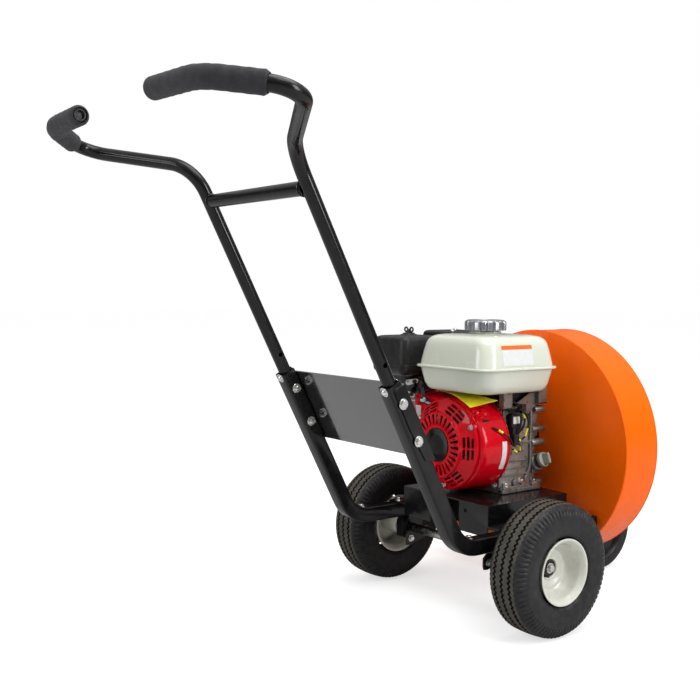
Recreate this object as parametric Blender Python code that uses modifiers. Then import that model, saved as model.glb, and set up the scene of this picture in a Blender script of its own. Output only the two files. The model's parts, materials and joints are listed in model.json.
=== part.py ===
"""Walk-behind wheeled blower: a petrol engine on a tube frame drives a fan in a round steel housing.

Metres, +Z up, +Y forward (towards the fan housing and the caster), +X to the operator's right.
The origin is on the ground under the middle of the machine. spot() takes places measured from
the main axle: x from the centre plane, y forward of the axle, z above the ground.
"""
import math

import bmesh
import bpy
from mathutils import Matrix, Vector

# Overall layout
AXLE_Y = 0.1246
GAP = 0.0003
TRACK_HALF = 0.2465
AXLE_Z = 0.131

# Main wheels, 10 in pneumatic
TYRE_R = 0.131
TYRE_HALF = 0.044
RIM_R = 0.0635
RIM_HALF = 0.0415
AXLE_R = 0.0095
BEARING_R = 0.0165
HUB_OUT = 0.0015
HUB_IN = -0.055
AXLE_END = TRACK_HALF + 0.0035

# Square lower tubes
TUBE_X = 0.168
TUBE_HALF = 0.015875
TUBE_WALL = 0.0019
SLOPE = math.radians(27.9)
SLOPE_Y = -0.286
SLOPE_Z = 0.394
TUBE_TOP = 0.118
CORNER_Y = -0.170
CORNER_Z = 0.176
BEND_R = 0.070
TUBE_FRONT = 0.2205

# Upper handle
HANDLE_R = 0.0127
HANDLE_WALL = 0.0018
HANDLE_FOOT = -0.030
HANDLE_STEP = 0.079
GRIP_R = 0.0180
GRIP_GAP = 0.0010
GRIP_LENGTH = 0.236

# Fan housing
DRUM_R = 0.2525
DRUM_Z = 0.328
DRUM_BACK = 0.225
DRUM_FRONT = 0.330
SHEET = 0.0025
DUCT_TOP = 0.240
DUCT_END = -0.345
INTAKE_R = 0.100

# Engine
CRANK_X = -0.022
CRANK_Z = 0.341
DECK_TOP = 0.236
CYLINDER_TILT = math.radians(25.0)
COVER_BACK = 0.1503
COVER_FRONT = 0.187
TANK_MID = (0.015, 0.052)
CAP_MID = (0.020, 0.043)

# Caster
CASTER_R = 0.1016
CASTER_HALF = 0.025
PIVOT_Y = 0.495
CASTER_Y = 0.450
BRACKET_Z = 0.2225
BRACKET_FRONT = 0.530

SIDE_VIEW = Matrix(((0, 0, 1), (1, 0, 0), (0, 1, 0)))
BACK_VIEW = Matrix(((1, 0, 0), (0, 0, -1), (0, 1, 0)))
TOP_VIEW = Matrix.Identity(3)
UPSIDE_DOWN = Matrix(((1, 0, 0), (0, -1, 0), (0, 0, -1)))
FORWARD = Matrix(((1, 0, 0), (0, 0, 1), (0, -1, 0)))


def clear_scene():
    for obj in list(bpy.data.objects):
        bpy.data.objects.remove(obj, do_unlink=True)


def collection(name):
    made = bpy.data.collections.new(name)
    bpy.context.scene.collection.children.link(made)
    return made


def paint(name, colour, roughness, metallic=0.0):
    made = bpy.data.materials.new(name)
    made.use_nodes = True
    shader = made.node_tree.nodes["Principled BSDF"]
    shader.inputs["Base Color"].default_value = (*colour, 1.0)
    shader.inputs["Roughness"].default_value = roughness
    shader.inputs["Metallic"].default_value = metallic
    return made


def spot(x, y, z):
    """A place given from the axle, in the model's frame."""
    return Vector((x, y + AXLE_Y, z))


def along_tube(t, forward=0.0):
    """The (y, z) place t metres up the sloping tubes' centre line, moved forward of it."""
    y = SLOPE_Y - math.sin(SLOPE) * t + math.cos(SLOPE) * forward
    z = SLOPE_Z + math.cos(SLOPE) * t + math.sin(SLOPE) * forward
    return y, z


def arc(centre, radius, start, end, steps):
    """Points of an arc, angles in degrees."""
    points = []
    for i in range(steps + 1):
        a = math.radians(start + (end - start) * i / steps)
        points.append((centre[0] + radius * math.cos(a), centre[1] + radius * math.sin(a)))
    return points


def circle(centre, radius, steps=24):
    return arc(centre, radius, 0, 360 - 360 / steps, steps - 1)


def rounded_box(centre, half, radius, steps=3):
    """A rectangle outline with round corners, anticlockwise."""
    points = []
    for sx, sy, start in ((1, 1, 0), (-1, 1, 90), (-1, -1, 180), (1, -1, 270)):
        corner = (centre[0] + sx * (half[0] - radius), centre[1] + sy * (half[1] - radius))
        points += arc(corner, radius, start, start + 90, steps)
    return points


# Object makers ---------------------------------------------------------------------------------

def place(name, mesh, finish, where=None, turn=None, holder=None):
    obj = bpy.data.objects.new(name, mesh)
    matrix = (turn or TOP_VIEW).to_4x4()
    matrix.translation = where or Vector((0, 0, 0))
    obj.matrix_world = matrix
    (holder or PARTS).objects.link(obj)
    if finish:
        mesh.materials.append(finish)
    return obj


def box(name, low, high, finish=None, bevel=0.0, holder=None, turn=None):
    """A box between two corners measured from the axle."""
    low, high = Vector(low), Vector(high)
    mesh = bpy.data.meshes.new(name)
    bm = bmesh.new()
    bmesh.ops.create_cube(bm, size=1.0)
    bmesh.ops.scale(bm, vec=high - low, verts=bm.verts)
    bm.to_mesh(mesh)
    bm.free()
    obj = place(name, mesh, finish, spot(*((low + high) / 2)), turn, holder)
    if bevel:
        rounding = obj.modifiers.new("rounding", "BEVEL")
        rounding.width = bevel
        rounding.segments = 2
        rounding.limit_method = "ANGLE"
    return obj


def axis_turn(axis):
    """Rotation that takes local +Z to the axis."""
    return Vector((0, 0, 1)).rotation_difference(Vector(axis).normalized()).to_matrix()


def rod(name, start, end, radius, finish=None, steps=24, holder=None):
    """A cylinder between two places measured from the axle."""
    start, end = spot(*start), spot(*end)
    mesh = bpy.data.meshes.new(name)
    bm = bmesh.new()
    bmesh.ops.create_cone(bm, cap_ends=True, segments=steps, radius1=radius, radius2=radius,
                          depth=(end - start).length)
    bm.to_mesh(mesh)
    bm.free()
    obj = place(name, mesh, finish, (start + end) / 2, axis_turn(end - start), holder)
    mesh.shade_smooth()
    mesh.set_sharp_from_angle(angle=math.radians(40))
    return obj


def turned(name, profile, where, axis, finish=None, steps=32, closed=False, holder=None):
    """A turned solid: (radius, height) points down its outer side, spun about the axis."""
    mesh = bpy.data.meshes.new(name)
    edges = [(i, i + 1) for i in range(len(profile) - 1)]
    if closed:
        edges.append((len(profile) - 1, 0))
    mesh.from_pydata([(r, 0, h) for r, h in profile], edges, [])
    obj = place(name, mesh, finish, spot(*where), axis_turn(axis), holder)
    spin = obj.modifiers.new("spin", "SCREW")
    spin.axis = "Z"
    spin.angle = math.tau
    spin.steps = steps
    spin.render_steps = steps
    spin.use_merge_vertices = True
    spin.merge_threshold = 0.00001
    return obj


def as_mesh(obj):
    """Turn a curve object, or one with modifiers, into a plain welded mesh object."""
    bpy.context.view_layer.update()
    ready = obj.evaluated_get(bpy.context.evaluated_depsgraph_get())
    mesh = bpy.data.meshes.new_from_object(ready)
    bm = bmesh.new()
    bm.from_mesh(mesh)
    bmesh.ops.remove_doubles(bm, verts=bm.verts, dist=0.00001)
    bmesh.ops.recalc_face_normals(bm, faces=bm.faces)
    bm.to_mesh(mesh)
    bm.free()
    name, matrix, holders = obj.name, obj.matrix_world.copy(), list(obj.users_collection)
    bpy.data.objects.remove(obj)
    made = bpy.data.objects.new(name, mesh)
    made.matrix_world = matrix
    for holder in holders:
        holder.objects.link(made)
    return made


def plate(name, loops, thickness, where, view, finish=None, holder=None):
    """A flat outline, with any holes, given thickness either side of where."""
    data = bpy.data.curves.new(name, "CURVE")
    data.dimensions = "2D"
    data.fill_mode = "BOTH"
    data.extrude = thickness / 2
    for loop in loops:
        spline = data.splines.new("POLY")
        spline.points.add(len(loop) - 1)
        for point, (u, v) in zip(spline.points, loop):
            point.co = (u, v, 0, 1)
        spline.use_cyclic_u = True
    if finish:
        data.materials.append(finish)
    obj = bpy.data.objects.new(name, data)
    matrix = view.to_4x4()
    matrix.translation = spot(*where)
    obj.matrix_world = matrix
    (holder or PARTS).objects.link(obj)
    return as_mesh(obj)


def tray(name, outline, depth, wall, where, view, finish, holes=(), open_edges=(), flare=1.0,
         about=(0, 0)):
    """An open sheet tray: a base with holes and a wall along local +Z round its outline."""
    mesh = bpy.data.meshes.new(name)
    bm = bmesh.new()
    rings = []
    for loop in (outline, *holes):
        verts = [bm.verts.new((u, v, 0)) for u, v in loop]
        rings.append([bm.edges.new((verts[i], verts[(i + 1) % len(verts)])) for i in range(len(verts))])
    base = bmesh.ops.triangle_fill(bm, edges=[e for ring in rings for e in ring], use_beauty=True)
    for face in (f for f in base["geom"] if isinstance(f, bmesh.types.BMFace)):
        if face.normal.z > 0:
            face.normal_flip()
    rim = [edge for i, edge in enumerate(rings[0]) if i not in open_edges]
    raised = bmesh.ops.extrude_edge_only(bm, edges=rim)
    lifted = [v for v in raised["geom"] if isinstance(v, bmesh.types.BMVert)]
    middle = Vector((*about, 0))
    for vert in lifted:
        vert.co = middle + (vert.co - middle) * flare + Vector((0, 0, depth))
    bmesh.ops.recalc_face_normals(bm, faces=bm.faces)
    bm.normal_update()
    if min(bm.faces, key=lambda f: f.calc_center_median().z).normal.z > 0:
        bmesh.ops.reverse_faces(bm, faces=bm.faces)
    bm.to_mesh(mesh)
    bm.free()
    obj = place(name, mesh, finish, spot(*where), view)
    shell = obj.modifiers.new("shell", "SOLIDIFY")
    shell.thickness = wall
    shell.offset = -1.0
    shell.use_even_offset = True
    return obj


def back_tray(name, outline, depth, wall, y, finish, holes=(), open_edges=(), flare=1.0):
    """A tray whose base faces rearward at y and whose wall runs forward."""
    mirrored = [(u, -v) for u, v in outline]
    gaps = [[(u, -v) for u, v in hole] for hole in holes]
    tray(name, mirrored, depth, wall, (0, y, 0), FORWARD, finish, gaps, open_edges, flare,
         (CRANK_X, -CRANK_Z))


def stack(name, rings, finish, where=(0, 0, 0), wall=0.0, open_top=False, view=TOP_VIEW):
    """A loft through outlines of equal length, given as (height, outline)."""
    mesh = bpy.data.meshes.new(name)
    bm = bmesh.new()
    levels = [[bm.verts.new((u, v, height)) for u, v in outline] for height, outline in rings]
    count = len(levels[0])
    for low, high in zip(levels, levels[1:]):
        for i in range(count):
            j = (i + 1) % count
            bm.faces.new((low[i], low[j], high[j], high[i]))
    floor = bm.faces.new(levels[0])
    if not open_top:
        bm.faces.new(levels[-1])
    bmesh.ops.recalc_face_normals(bm, faces=bm.faces)
    if floor.normal.z > 0:
        bmesh.ops.reverse_faces(bm, faces=bm.faces)
    bm.to_mesh(mesh)
    bm.free()
    obj = place(name, mesh, finish, spot(*where), view)
    if wall:
        shell = obj.modifiers.new("shell", "SOLIDIFY")
        shell.thickness = wall
        shell.offset = -1.0
    return obj


def combine(obj, other, operation="UNION"):
    """Join or cut an object with another, which then stays as a hidden guide."""
    change = obj.modifiers.new(other.name, "BOOLEAN")
    change.operation = operation
    change.object = other
    change.solver = "EXACT"
    other.hide_render = True
    other.display_type = "WIRE"
    return obj


def cut(obj, other):
    return combine(obj, other, "DIFFERENCE")


def bent(points, radii, steps=4):
    """A route through points, with its inner corners rounded to the given radii."""
    points = [Vector(p) for p in points]
    route = [points[0]]
    for before, corner, after, radius in zip(points, points[1:], points[2:], radii):
        a, b = (before - corner).normalized(), (after - corner).normalized()
        half = a.angle(b) / 2
        reach = radius / math.tan(half)
        centre = corner + (a + b).normalized() * (radius / math.sin(half))
        first = (corner + a * reach - centre).normalized()
        last = (corner + b * reach - centre).normalized()
        for i in range(steps + 1):
            route.append(centre + first.slerp(last, i / steps) * radius)
    route.append(points[-1])
    return route


def pipe(name, route, radius, finish, wall=0.0, sides=3):
    """A round tube along a route measured from the axle; wall 0 makes it solid."""
    data = bpy.data.curves.new(name, "CURVE")
    data.dimensions = "3D"
    data.bevel_depth = radius
    data.bevel_resolution = sides
    data.use_fill_caps = not wall
    spline = data.splines.new("POLY")
    spline.points.add(len(route) - 1)
    for point, place_at in zip(spline.points, route):
        point.co = (*spot(*place_at), 1)
    data.materials.append(finish)
    obj = bpy.data.objects.new(name, data)
    PARTS.objects.link(obj)
    if wall:
        shell = obj.modifiers.new("shell", "SOLIDIFY")
        shell.thickness = wall
        shell.offset = -1.0
    return as_mesh(obj)


def hang(name, where, *pieces):
    """An empty on a joint's axis, carrying the pieces that move there and what cuts them."""
    pivot = bpy.data.objects.new(name, None)
    pivot.location = where
    PARTS.objects.link(pivot)
    bpy.context.view_layer.update()
    for piece in pieces:
        child = bpy.data.objects[piece]
        tools = [m.object for m in child.modifiers if m.type == "BOOLEAN"]
        for each in (child, *tools):
            each.parent = pivot
            each.matrix_parent_inverse = pivot.matrix_world.inverted()


# Frame -----------------------------------------------------------------------------------------

def tube_outline(half, past=0.0):
    """Side view of a lower tube: down the slope, round the bend, then forward."""
    reach = BEND_R * math.tan((math.pi / 2 - SLOPE) / 2)
    centre = (CORNER_Y + reach, CORNER_Z + BEND_R)
    top_t = TUBE_TOP + past
    start = 180 + math.degrees(SLOPE)
    outline = [along_tube(top_t, -half)]
    outline += arc(centre, BEND_R + half, start, 270, 8)
    outline += [(TUBE_FRONT + past, CORNER_Z - half), (TUBE_FRONT + past, CORNER_Z + half)]
    outline += arc(centre, BEND_R - half, 270, start, 8)
    outline.append(along_tube(top_t, half))
    return outline


def lower_tube(side, name):
    x = side * TUBE_X
    tube = plate(name, [tube_outline(TUBE_HALF)], 2 * TUBE_HALF, (x, 0, 0), SIDE_VIEW, BLACK)
    inner = TUBE_HALF - TUBE_WALL
    bore = plate(name + "_bore", [tube_outline(inner, 0.01)], 2 * inner, (x, 0, 0), SIDE_VIEW,
                 holder=CUTTERS)
    cut(tube, bore)
    for t in (0.0, HANDLE_STEP):
        y, z = along_tube(t)
        hole = rod(f"{name}_hole_{t}", (x - 0.03, y, z), (x + 0.03, y, z), 0.0044, steps=16,
                   holder=CUTTERS)
        cut(tube, hole)


def handle_plate():
    """A channel: a web on the front of the sloping tubes, with flanges along their outer sides."""
    sheet = 0.003
    outer = TUBE_X + TUBE_HALF + GAP + sheet
    back = -0.007
    front = TUBE_HALF + GAP + sheet
    low, high = -0.052, 0.110
    corners = [along_tube(low, front), along_tube(high, front), along_tube(high, back),
               along_tube(0.03, back), along_tube(low + 0.01, back + 0.006)]
    block = plate("handle_plate", [corners], 2 * outer, (0, 0, 0), SIDE_VIEW, BLACK)
    inner = TUBE_HALF + GAP
    hollow = [along_tube(low - 0.05, inner), along_tube(high + 0.05, inner),
              along_tube(high + 0.05, back - 0.05), along_tube(low - 0.05, back - 0.05)]
    room = plate("handle_plate_room", [hollow], 2 * (outer - sheet), (0, 0, 0), SIDE_VIEW,
                 holder=CUTTERS)
    cut(block, room)
    for side in (-1, 1):
        for t in (0.0, HANDLE_STEP):
            y, z = along_tube(t)
            x = side * outer
            hole = rod(f"plate_hole_{side}_{t}", (x - 0.01, y, z), (x + 0.01, y, z), 0.0044, steps=16,
                       holder=CUTTERS)
            cut(block, hole)


def handle_bolt(name, side, t):
    """Domed bolt through the plate, the tubes and the nut on the inner face."""
    y, z = along_tube(t)
    outside = TUBE_X + TUBE_HALF + GAP + 0.003 + GAP
    inside = TUBE_X - TUBE_HALF - GAP
    head = [(0, 0.005), (0.004, 0.0045), (0.0075, 0.0022), (0.0085, 0), (0.004, 0)]
    shank = [(0.004, inside - outside), (0.0085, inside - outside), (0.0085, inside - outside - 0.0015),
             (0.0065, inside - outside - 0.0015), (0.0065, inside - outside - 0.008),
             (0.004, inside - outside - 0.008), (0.004, inside - outside - 0.011),
             (0, inside - outside - 0.011)]
    turned(name, head + shank, (side * outside, y, z), (side, 0, 0), ZINC, steps=10)


def engine_deck():
    """Folded sheet bench: a top, two sides with feet on the tubes, and a cut-away rear flange."""
    sheet = 0.003
    top, foot = DECK_TOP, CORNER_Z + TUBE_HALF + GAP
    wide, rear, front = 0.130, -0.050, 0.186
    deck = box("engine_deck", (-wide, rear, top - sheet), (wide, front, top), BLACK)
    for side in (-1, 1):
        inner, outer = side * (wide - sheet), side * wide
        web = box(f"deck_web_{side}", (min(inner, outer), rear, foot + 0.001),
                  (max(inner, outer), front, top - 0.001), holder=CUTTERS)
        combine(deck, web)
        tip, root = side * 0.182, side * (wide - sheet - 0.0005)
        ledge = box(f"deck_foot_{side}", (min(root, tip), rear, foot), (max(root, tip), front, foot + sheet),
                    holder=CUTTERS)
        combine(deck, ledge)
        low, high = sorted((side * 0.045, side * (wide - sheet / 2)))
        flange = box(f"deck_flange_{side}", (low, rear + 0.0005, 0.172), (high, rear + sheet, top - 0.001),
                     holder=CUTTERS)
        combine(deck, flange)
    hole = rod("deck_hole", (0.064, rear - 0.01, 0.2165), (0.064, rear + 0.01, 0.2165), 0.0045, steps=16,
               holder=CUTTERS)
    cut(deck, hole)


def axle_hanger(side, name):
    """Bearing block that hangs the axle under a lower tube."""
    top = CORNER_Z - TUBE_HALF - GAP
    block = [(-0.024, 0.110), (0.024, 0.110), (0.024, 0.145), (0.016, top), (-0.016, top), (-0.024, 0.145)]
    plate(name, [block, circle((0, AXLE_Z), AXLE_R + GAP, 16)], 0.034, (side * TUBE_X, 0, 0), SIDE_VIEW,
          BLACK)


def axle():
    rod("axle", (-AXLE_END, 0, AXLE_Z), (AXLE_END, 0, AXLE_Z), AXLE_R, STEEL, 20)


def axle_nut(side, name):
    """Domed bolt in the end of the axle, which keeps the wheel on."""
    cap = [(0, 0.0065), (0.005, 0.0060), (0.009, 0.0040), (0.0105, 0.0010), (0.0105, 0), (0, 0)]
    turned(name, cap, (side * (AXLE_END + GAP), 0, AXLE_Z), (side, 0, 0), ZINC, steps=12)


def wheel(side, word):
    x = side * TRACK_HALF
    out = (side, 0, 0)
    outer = [(RIM_R + 0.0028, TYRE_HALF - 0.006), (0.0960, TYRE_HALF), (0.1200, TYRE_HALF - 0.003),
             (TYRE_R - 0.001, TYRE_HALF - 0.017), (TYRE_R, 0)]
    inner = [(TYRE_R - 0.009, 0), (0.1140, TYRE_HALF - 0.010), (0.0960, TYRE_HALF - 0.006),
             (RIM_R + 0.0028, TYRE_HALF - 0.012)]
    profile = outer + [(r, -h) for r, h in reversed(outer[:-1])]
    profile += [(r, -h) for r, h in reversed(inner)] + inner[1:]
    turned(f"{word}_tyre", profile, (x, 0, AXLE_Z), out, RUBBER, steps=26, closed=True)

    sheet, barrel, bore = 0.0022, 0.0560, BEARING_R + GAP
    flange = [(RIM_R, RIM_HALF), (RIM_R + 0.0022, RIM_HALF - 0.004), (barrel, 0.031)]
    outside = [(barrel - sheet, 0.033), (0.0510, 0.016), (0.0360, 0.0045), (0.0225, HUB_OUT), (bore, HUB_OUT)]
    inside = [(bore, HUB_IN), (0.0225, HUB_IN), (0.0225, -0.0010), (0.0360, 0.0020), (0.0495, 0.0120),
              (barrel - sheet, 0.0120), (barrel - sheet, -0.033)]
    lip = (RIM_R - 0.0025, RIM_HALF)
    ring = flange + [(r, -h) for r, h in reversed(flange)] + [(lip[0], -lip[1])]
    ring += list(reversed(inside)) + list(reversed(outside)) + [lip]
    turned(f"{word}_rim", ring, (x, 0, AXLE_Z), out, CREAM, steps=22, closed=True)

    ends = HUB_OUT + 0.001, HUB_IN - 0.001
    race = [(BEARING_R, ends[0]), (BEARING_R, ends[1]), (AXLE_R + GAP, ends[1]), (AXLE_R + GAP, ends[0])]
    turned(f"{word}_hub_bearing", race, (x, 0, AXLE_Z), out, BLACK_PLASTIC, steps=16, closed=True)


# Handle ----------------------------------------------------------------------------------------

def handle_route(side):
    foot_y, foot_z = along_tube(HANDLE_FOOT)
    corners = [(TUBE_X, foot_y, foot_z), (TUBE_X, -0.549, 0.895), (0.3957, -0.676, 0.9375),
               (0.281, -0.779, 0.959), (0.143, -0.783, 0.962)]
    return bent([(side * x, y, z) for x, y, z in corners], (0.078, 0.043, 0.090))


def from_length(route, start):
    """The part of a route that lies beyond a length along it."""
    run = 0.0
    for i, (a, b) in enumerate(zip(route, route[1:])):
        step = (b - a).length
        if run + step > start:
            return [a.lerp(b, (start - run) / step)] + route[i + 1:]
        run += step
    return route[-1:]


def upper_handle():
    for side, word in ((-1, "left"), (1, "right")):
        route = handle_route(side)
        tube = pipe(f"{word}_handle_tube", route, HANDLE_R, BLACK, HANDLE_WALL, sides=3)
        x = side * TUBE_X
        half = 0.0044
        low, high = 0.0, 2 * HANDLE_STEP
        ends = [along_tube(low - half, -half), along_tube(high + half, -half), along_tube(high + half, half),
                along_tube(low - half, half)]
        slot = plate(f"{word}_slot", [ends], 0.05, (x, 0, 0), SIDE_VIEW, holder=CUTTERS)
        cut(tube, slot)
        length = sum((b - a).length for a, b in zip(route, route[1:]))
        cover = from_length(route, length - GRIP_LENGTH)
        cover[-1] = cover[-1] + Vector((-side * 0.003, 0, 0))
        pipe(f"{word}_grip", cover, GRIP_R, FOAM, GRIP_R - HANDLE_R - GRIP_GAP, sides=3)
    y, z = -0.518, 0.832
    reach = TUBE_X - HANDLE_R - GAP
    pipe("handle_crossbar", [(-reach, y, z), (reach, y, z)], HANDLE_R, BLACK, HANDLE_WALL, sides=4)


# Fan housing -----------------------------------------------------------------------------------

def drum_outline(radius, end, low_trim=0.0):
    """Back view of the scroll: round, with a straight outlet to the left at the bottom."""
    top_angle = 180 + math.degrees(math.asin((DRUM_Z - DUCT_TOP) / radius))
    outline = arc((0, DRUM_Z), radius, -90, top_angle, 46)
    outline += [(end, DUCT_TOP), (end, DRUM_Z - radius + low_trim)]
    return outline


def fan_housing():
    outline = drum_outline(DRUM_R, DUCT_END)
    depth = DRUM_FRONT - SHEET - GAP - DRUM_BACK
    hole = circle((CRANK_X, CRANK_Z), 0.035, 20)
    back_tray("fan_housing", outline, depth, SHEET, DRUM_BACK, ORANGE, holes=(hole,),
              open_edges=(len(outline) - 2,))


def housing_cover():
    outline = drum_outline(DRUM_R, DUCT_END)
    plate("housing_cover", [outline, circle((CRANK_X, CRANK_Z), INTAKE_R, 32)], SHEET,
          (0, DRUM_FRONT - SHEET / 2, 0), BACK_VIEW, ORANGE)


def intake_guard():
    """Flat grille over the intake: an outer band, two inner rings and eight spokes."""
    y = DRUM_FRONT + GAP + 0.002
    centre = (CRANK_X, CRANK_Z)
    outer = INTAKE_R + 0.012
    guard = plate("intake_guard", [circle(centre, outer, 20), circle(centre, INTAKE_R - 0.004, 20)], 0.004,
                  (0, y, 0), BACK_VIEW, BLACK)
    for i, radius in enumerate((0.068, 0.036)):
        loops = [circle(centre, radius, 12), circle(centre, radius - 0.004, 12)]
        ring = plate(f"guard_ring_{i}", loops, 0.004, (0, y, 0), BACK_VIEW, holder=CUTTERS)
        combine(guard, ring)
    for i in range(4):
        a = math.radians(45 * i)
        reach = INTAKE_R + 0.002
        dx, dz = reach * math.cos(a), reach * math.sin(a)
        wide = 0.0025
        nx, nz = -math.sin(a) * wide, math.cos(a) * wide
        bar = [(CRANK_X + dx + nx, CRANK_Z + dz + nz), (CRANK_X - dx + nx, CRANK_Z - dz + nz),
               (CRANK_X - dx - nx, CRANK_Z - dz - nz), (CRANK_X + dx - nx, CRANK_Z + dz - nz)]
        spoke = plate(f"guard_spoke_{i}", [bar], 0.003, (0, y, 0), BACK_VIEW, holder=CUTTERS)
        combine(guard, spoke)


def impeller():
    """Back disc, hub and straight blades that throw the air outwards."""
    back, front, radius = 0.234, 0.316, 0.190
    disc = [(radius, 0.003), (radius, 0), (0.0099, 0), (0.0099, 0.050), (0.024, 0.050), (0.026, 0.003)]
    wheel_disc = turned("impeller", list(reversed(disc)), (CRANK_X, back, CRANK_Z), (0, 1, 0), DARK_STEEL,
                        steps=32, closed=True)
    for i in range(8):
        a = math.radians(45 * i + 10)
        along = Vector((math.cos(a), math.sin(a)))
        across = Vector((-math.sin(a), math.cos(a))) * 0.0015
        middle = Vector((CRANK_X, CRANK_Z))
        start, end = middle + along * 0.0245, middle + along * (radius - 0.002)
        outline = [tuple(start + across), tuple(end + across), tuple(end - across), tuple(start - across)]
        blade = plate(f"impeller_blade_{i}", [outline], front - back - 0.001,
                      (0, (front + back + 0.001) / 2, 0), BACK_VIEW, holder=CUTTERS)
        combine(wheel_disc, blade)


# Caster ----------------------------------------------------------------------------------------

def caster_bracket():
    """Angle bracket on the housing front that carries the caster's pivot."""
    sheet = 0.006
    face = DRUM_FRONT + GAP
    z = BRACKET_Z
    outline = [(-0.060, face), (0.060, face), (0.060, face + 0.06)]
    outline += arc((0.0, PIVOT_Y), BRACKET_FRONT - PIVOT_Y, -20, 200, 14)
    outline += [(-0.060, face + 0.06)]
    hole = circle((0, PIVOT_Y), 0.0130, 20)
    shelf = plate("caster_bracket", [outline, hole], sheet, (0, 0, z + sheet / 2), TOP_VIEW, BLACK)
    flange = box("bracket_flange", (-0.090, face, 0.128), (0.090, face + 0.005, z + sheet - 0.001),
                 holder=CUTTERS)
    combine(shelf, flange)


def caster_fork():
    """Crown, two legs and the swivel stem, welded."""
    crown_top = BRACKET_Z - 0.002
    crown = rod("caster_fork", (0, PIVOT_Y, crown_top - 0.006), (0, PIVOT_Y, crown_top), 0.040, ZINC, 28)
    stem = rod("fork_stem", (0, PIVOT_Y, crown_top - 0.003), (0, PIVOT_Y, BRACKET_Z + 0.014), 0.0125,
               steps=20, holder=CUTTERS)
    combine(crown, stem)
    for side in (-1, 1):
        leg = [(PIVOT_Y - 0.024, crown_top - 0.001), (PIVOT_Y + 0.022, crown_top - 0.001),
               (CASTER_Y + 0.018, CASTER_R + 0.006)]
        leg += arc((CASTER_Y, CASTER_R), 0.018, 0, -180, 8)
        leg += [(CASTER_Y - 0.018, CASTER_R + 0.02)]
        bolt_hole = circle((CASTER_Y, CASTER_R), 0.0053, 12)
        side_plate = plate(f"fork_leg_{side}", [leg, bolt_hole], 0.004, (side * 0.0315, 0, 0), SIDE_VIEW,
                           holder=CUTTERS)
        combine(crown, side_plate)


def caster_wheel():
    where = (0, CASTER_Y, CASTER_R)
    core = 0.078
    tyre = [(core + GAP, CASTER_HALF - 0.003), (CASTER_R - 0.008, CASTER_HALF - 0.003),
            (CASTER_R - 0.002, CASTER_HALF - 0.008), (CASTER_R, 0)]
    profile = tyre + [(r, -h) for r, h in reversed(tyre[:-1])]
    turned("caster_tyre", profile, where, (1, 0, 0), RUBBER, steps=22, closed=True)
    rim = [(core, 0.020), (core, -0.020), (0.072, -0.020), (0.070, -0.005), (0.024, -0.005),
           (0.022, -0.027), (0.0060, -0.027), (0.0060, 0.027), (0.022, 0.027), (0.024, 0.005), (0.070, 0.005),
           (0.072, 0.020)]
    turned("caster_rim", rim, where, (1, 0, 0), CREAM, steps=22, closed=True)
    reach = 0.036
    bolt = [(0, reach + 0.006), (0.0085, reach + 0.006), (0.0085, reach), (0.0050, reach), (0.0050, -reach),
            (0.0085, -reach), (0.0085, -reach - 0.007), (0.0050, -reach - 0.007), (0.0050, -reach - 0.010),
            (0, -reach - 0.010)]
    turned("caster_axle_bolt", bolt, where, (1, 0, 0), ZINC, steps=12)


# Engine ----------------------------------------------------------------------------------------

def lean(along, across):
    """The (x, z) place at a distance along the tilted cylinder from the crank, and across it."""
    c, s = math.cos(CYLINDER_TILT), math.sin(CYLINDER_TILT)
    return CRANK_X - c * along + s * across, CRANK_Z + s * along + c * across


def crankcase():
    foot = DECK_TOP + GAP
    outline = [(-0.107, foot), (0.063, foot), (0.063, foot + 0.014), (0.056, foot + 0.014), (0.056, 0.395),
               (0.035, 0.430), (-0.060, 0.435), lean(0.100, 0.045), lean(0.100, -0.045), (-0.100, 0.295),
               (-0.098, foot + 0.014), (-0.107, foot + 0.014)]
    hole = circle((CRANK_X, CRANK_Z), 0.0180, 20)
    back_tray("crankcase", outline, 0.095, 0.005, 0.055, ALUMINIUM, holes=(hole,))


def crankcase_cover():
    """Front half of the crankcase, with its feet; the crankshaft leaves through it."""
    foot = DECK_TOP + GAP
    outline = [(-0.107, foot), (0.063, foot), (0.063, foot + 0.014), (0.057, foot + 0.014), (0.057, 0.385),
               (0.030, 0.420), (-0.060, 0.425), (-0.100, 0.385), (-0.104, 0.300), (-0.098, foot + 0.014),
               (-0.107, foot + 0.014)]
    depth = COVER_FRONT - COVER_BACK
    tray("crankcase_cover", outline, depth, 0.005, (0, COVER_FRONT, 0), BACK_VIEW, ALUMINIUM,
         holes=(circle((CRANK_X, CRANK_Z), 0.0125, 20),))


def cylinder_head():
    """Barrel and head with cooling fins square to the cylinder."""
    start, end = 0.100 + GAP, 0.158
    middle_y = 0.105
    core = [lean(start, 0.034), lean(start, -0.034), lean(end, -0.034), lean(end, 0.034)]
    head = plate("cylinder_head", [core], 0.076, (0, middle_y, 0), BACK_VIEW, ALUMINIUM)
    for i in range(6):
        a = start + 0.004 + 0.0095 * i
        fin = [lean(a, 0.045), lean(a, -0.045), lean(a + 0.0028, -0.045), lean(a + 0.0028, 0.045)]
        combine(head, plate(f"head_fin_{i}", [fin], 0.096, (0, middle_y, 0), BACK_VIEW, holder=CUTTERS))


def rocker_cover():
    c, s = math.cos(CYLINDER_TILT), math.sin(CYLINDER_TILT)
    x, z = lean(0.158 + GAP, 0.0)
    turn = Matrix(((0, s, -c), (-1, 0, 0), (0, c, s)))
    rings = [(0.0, rounded_box((0, 0), (0.040, 0.036), 0.010)),
             (0.020, rounded_box((0, 0), (0.039, 0.035), 0.010)),
             (0.026, rounded_box((0, 0), (0.033, 0.029), 0.010))]
    stack("rocker_cover", rings, DARK_STEEL, (x, 0.105, z), view=turn)


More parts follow.
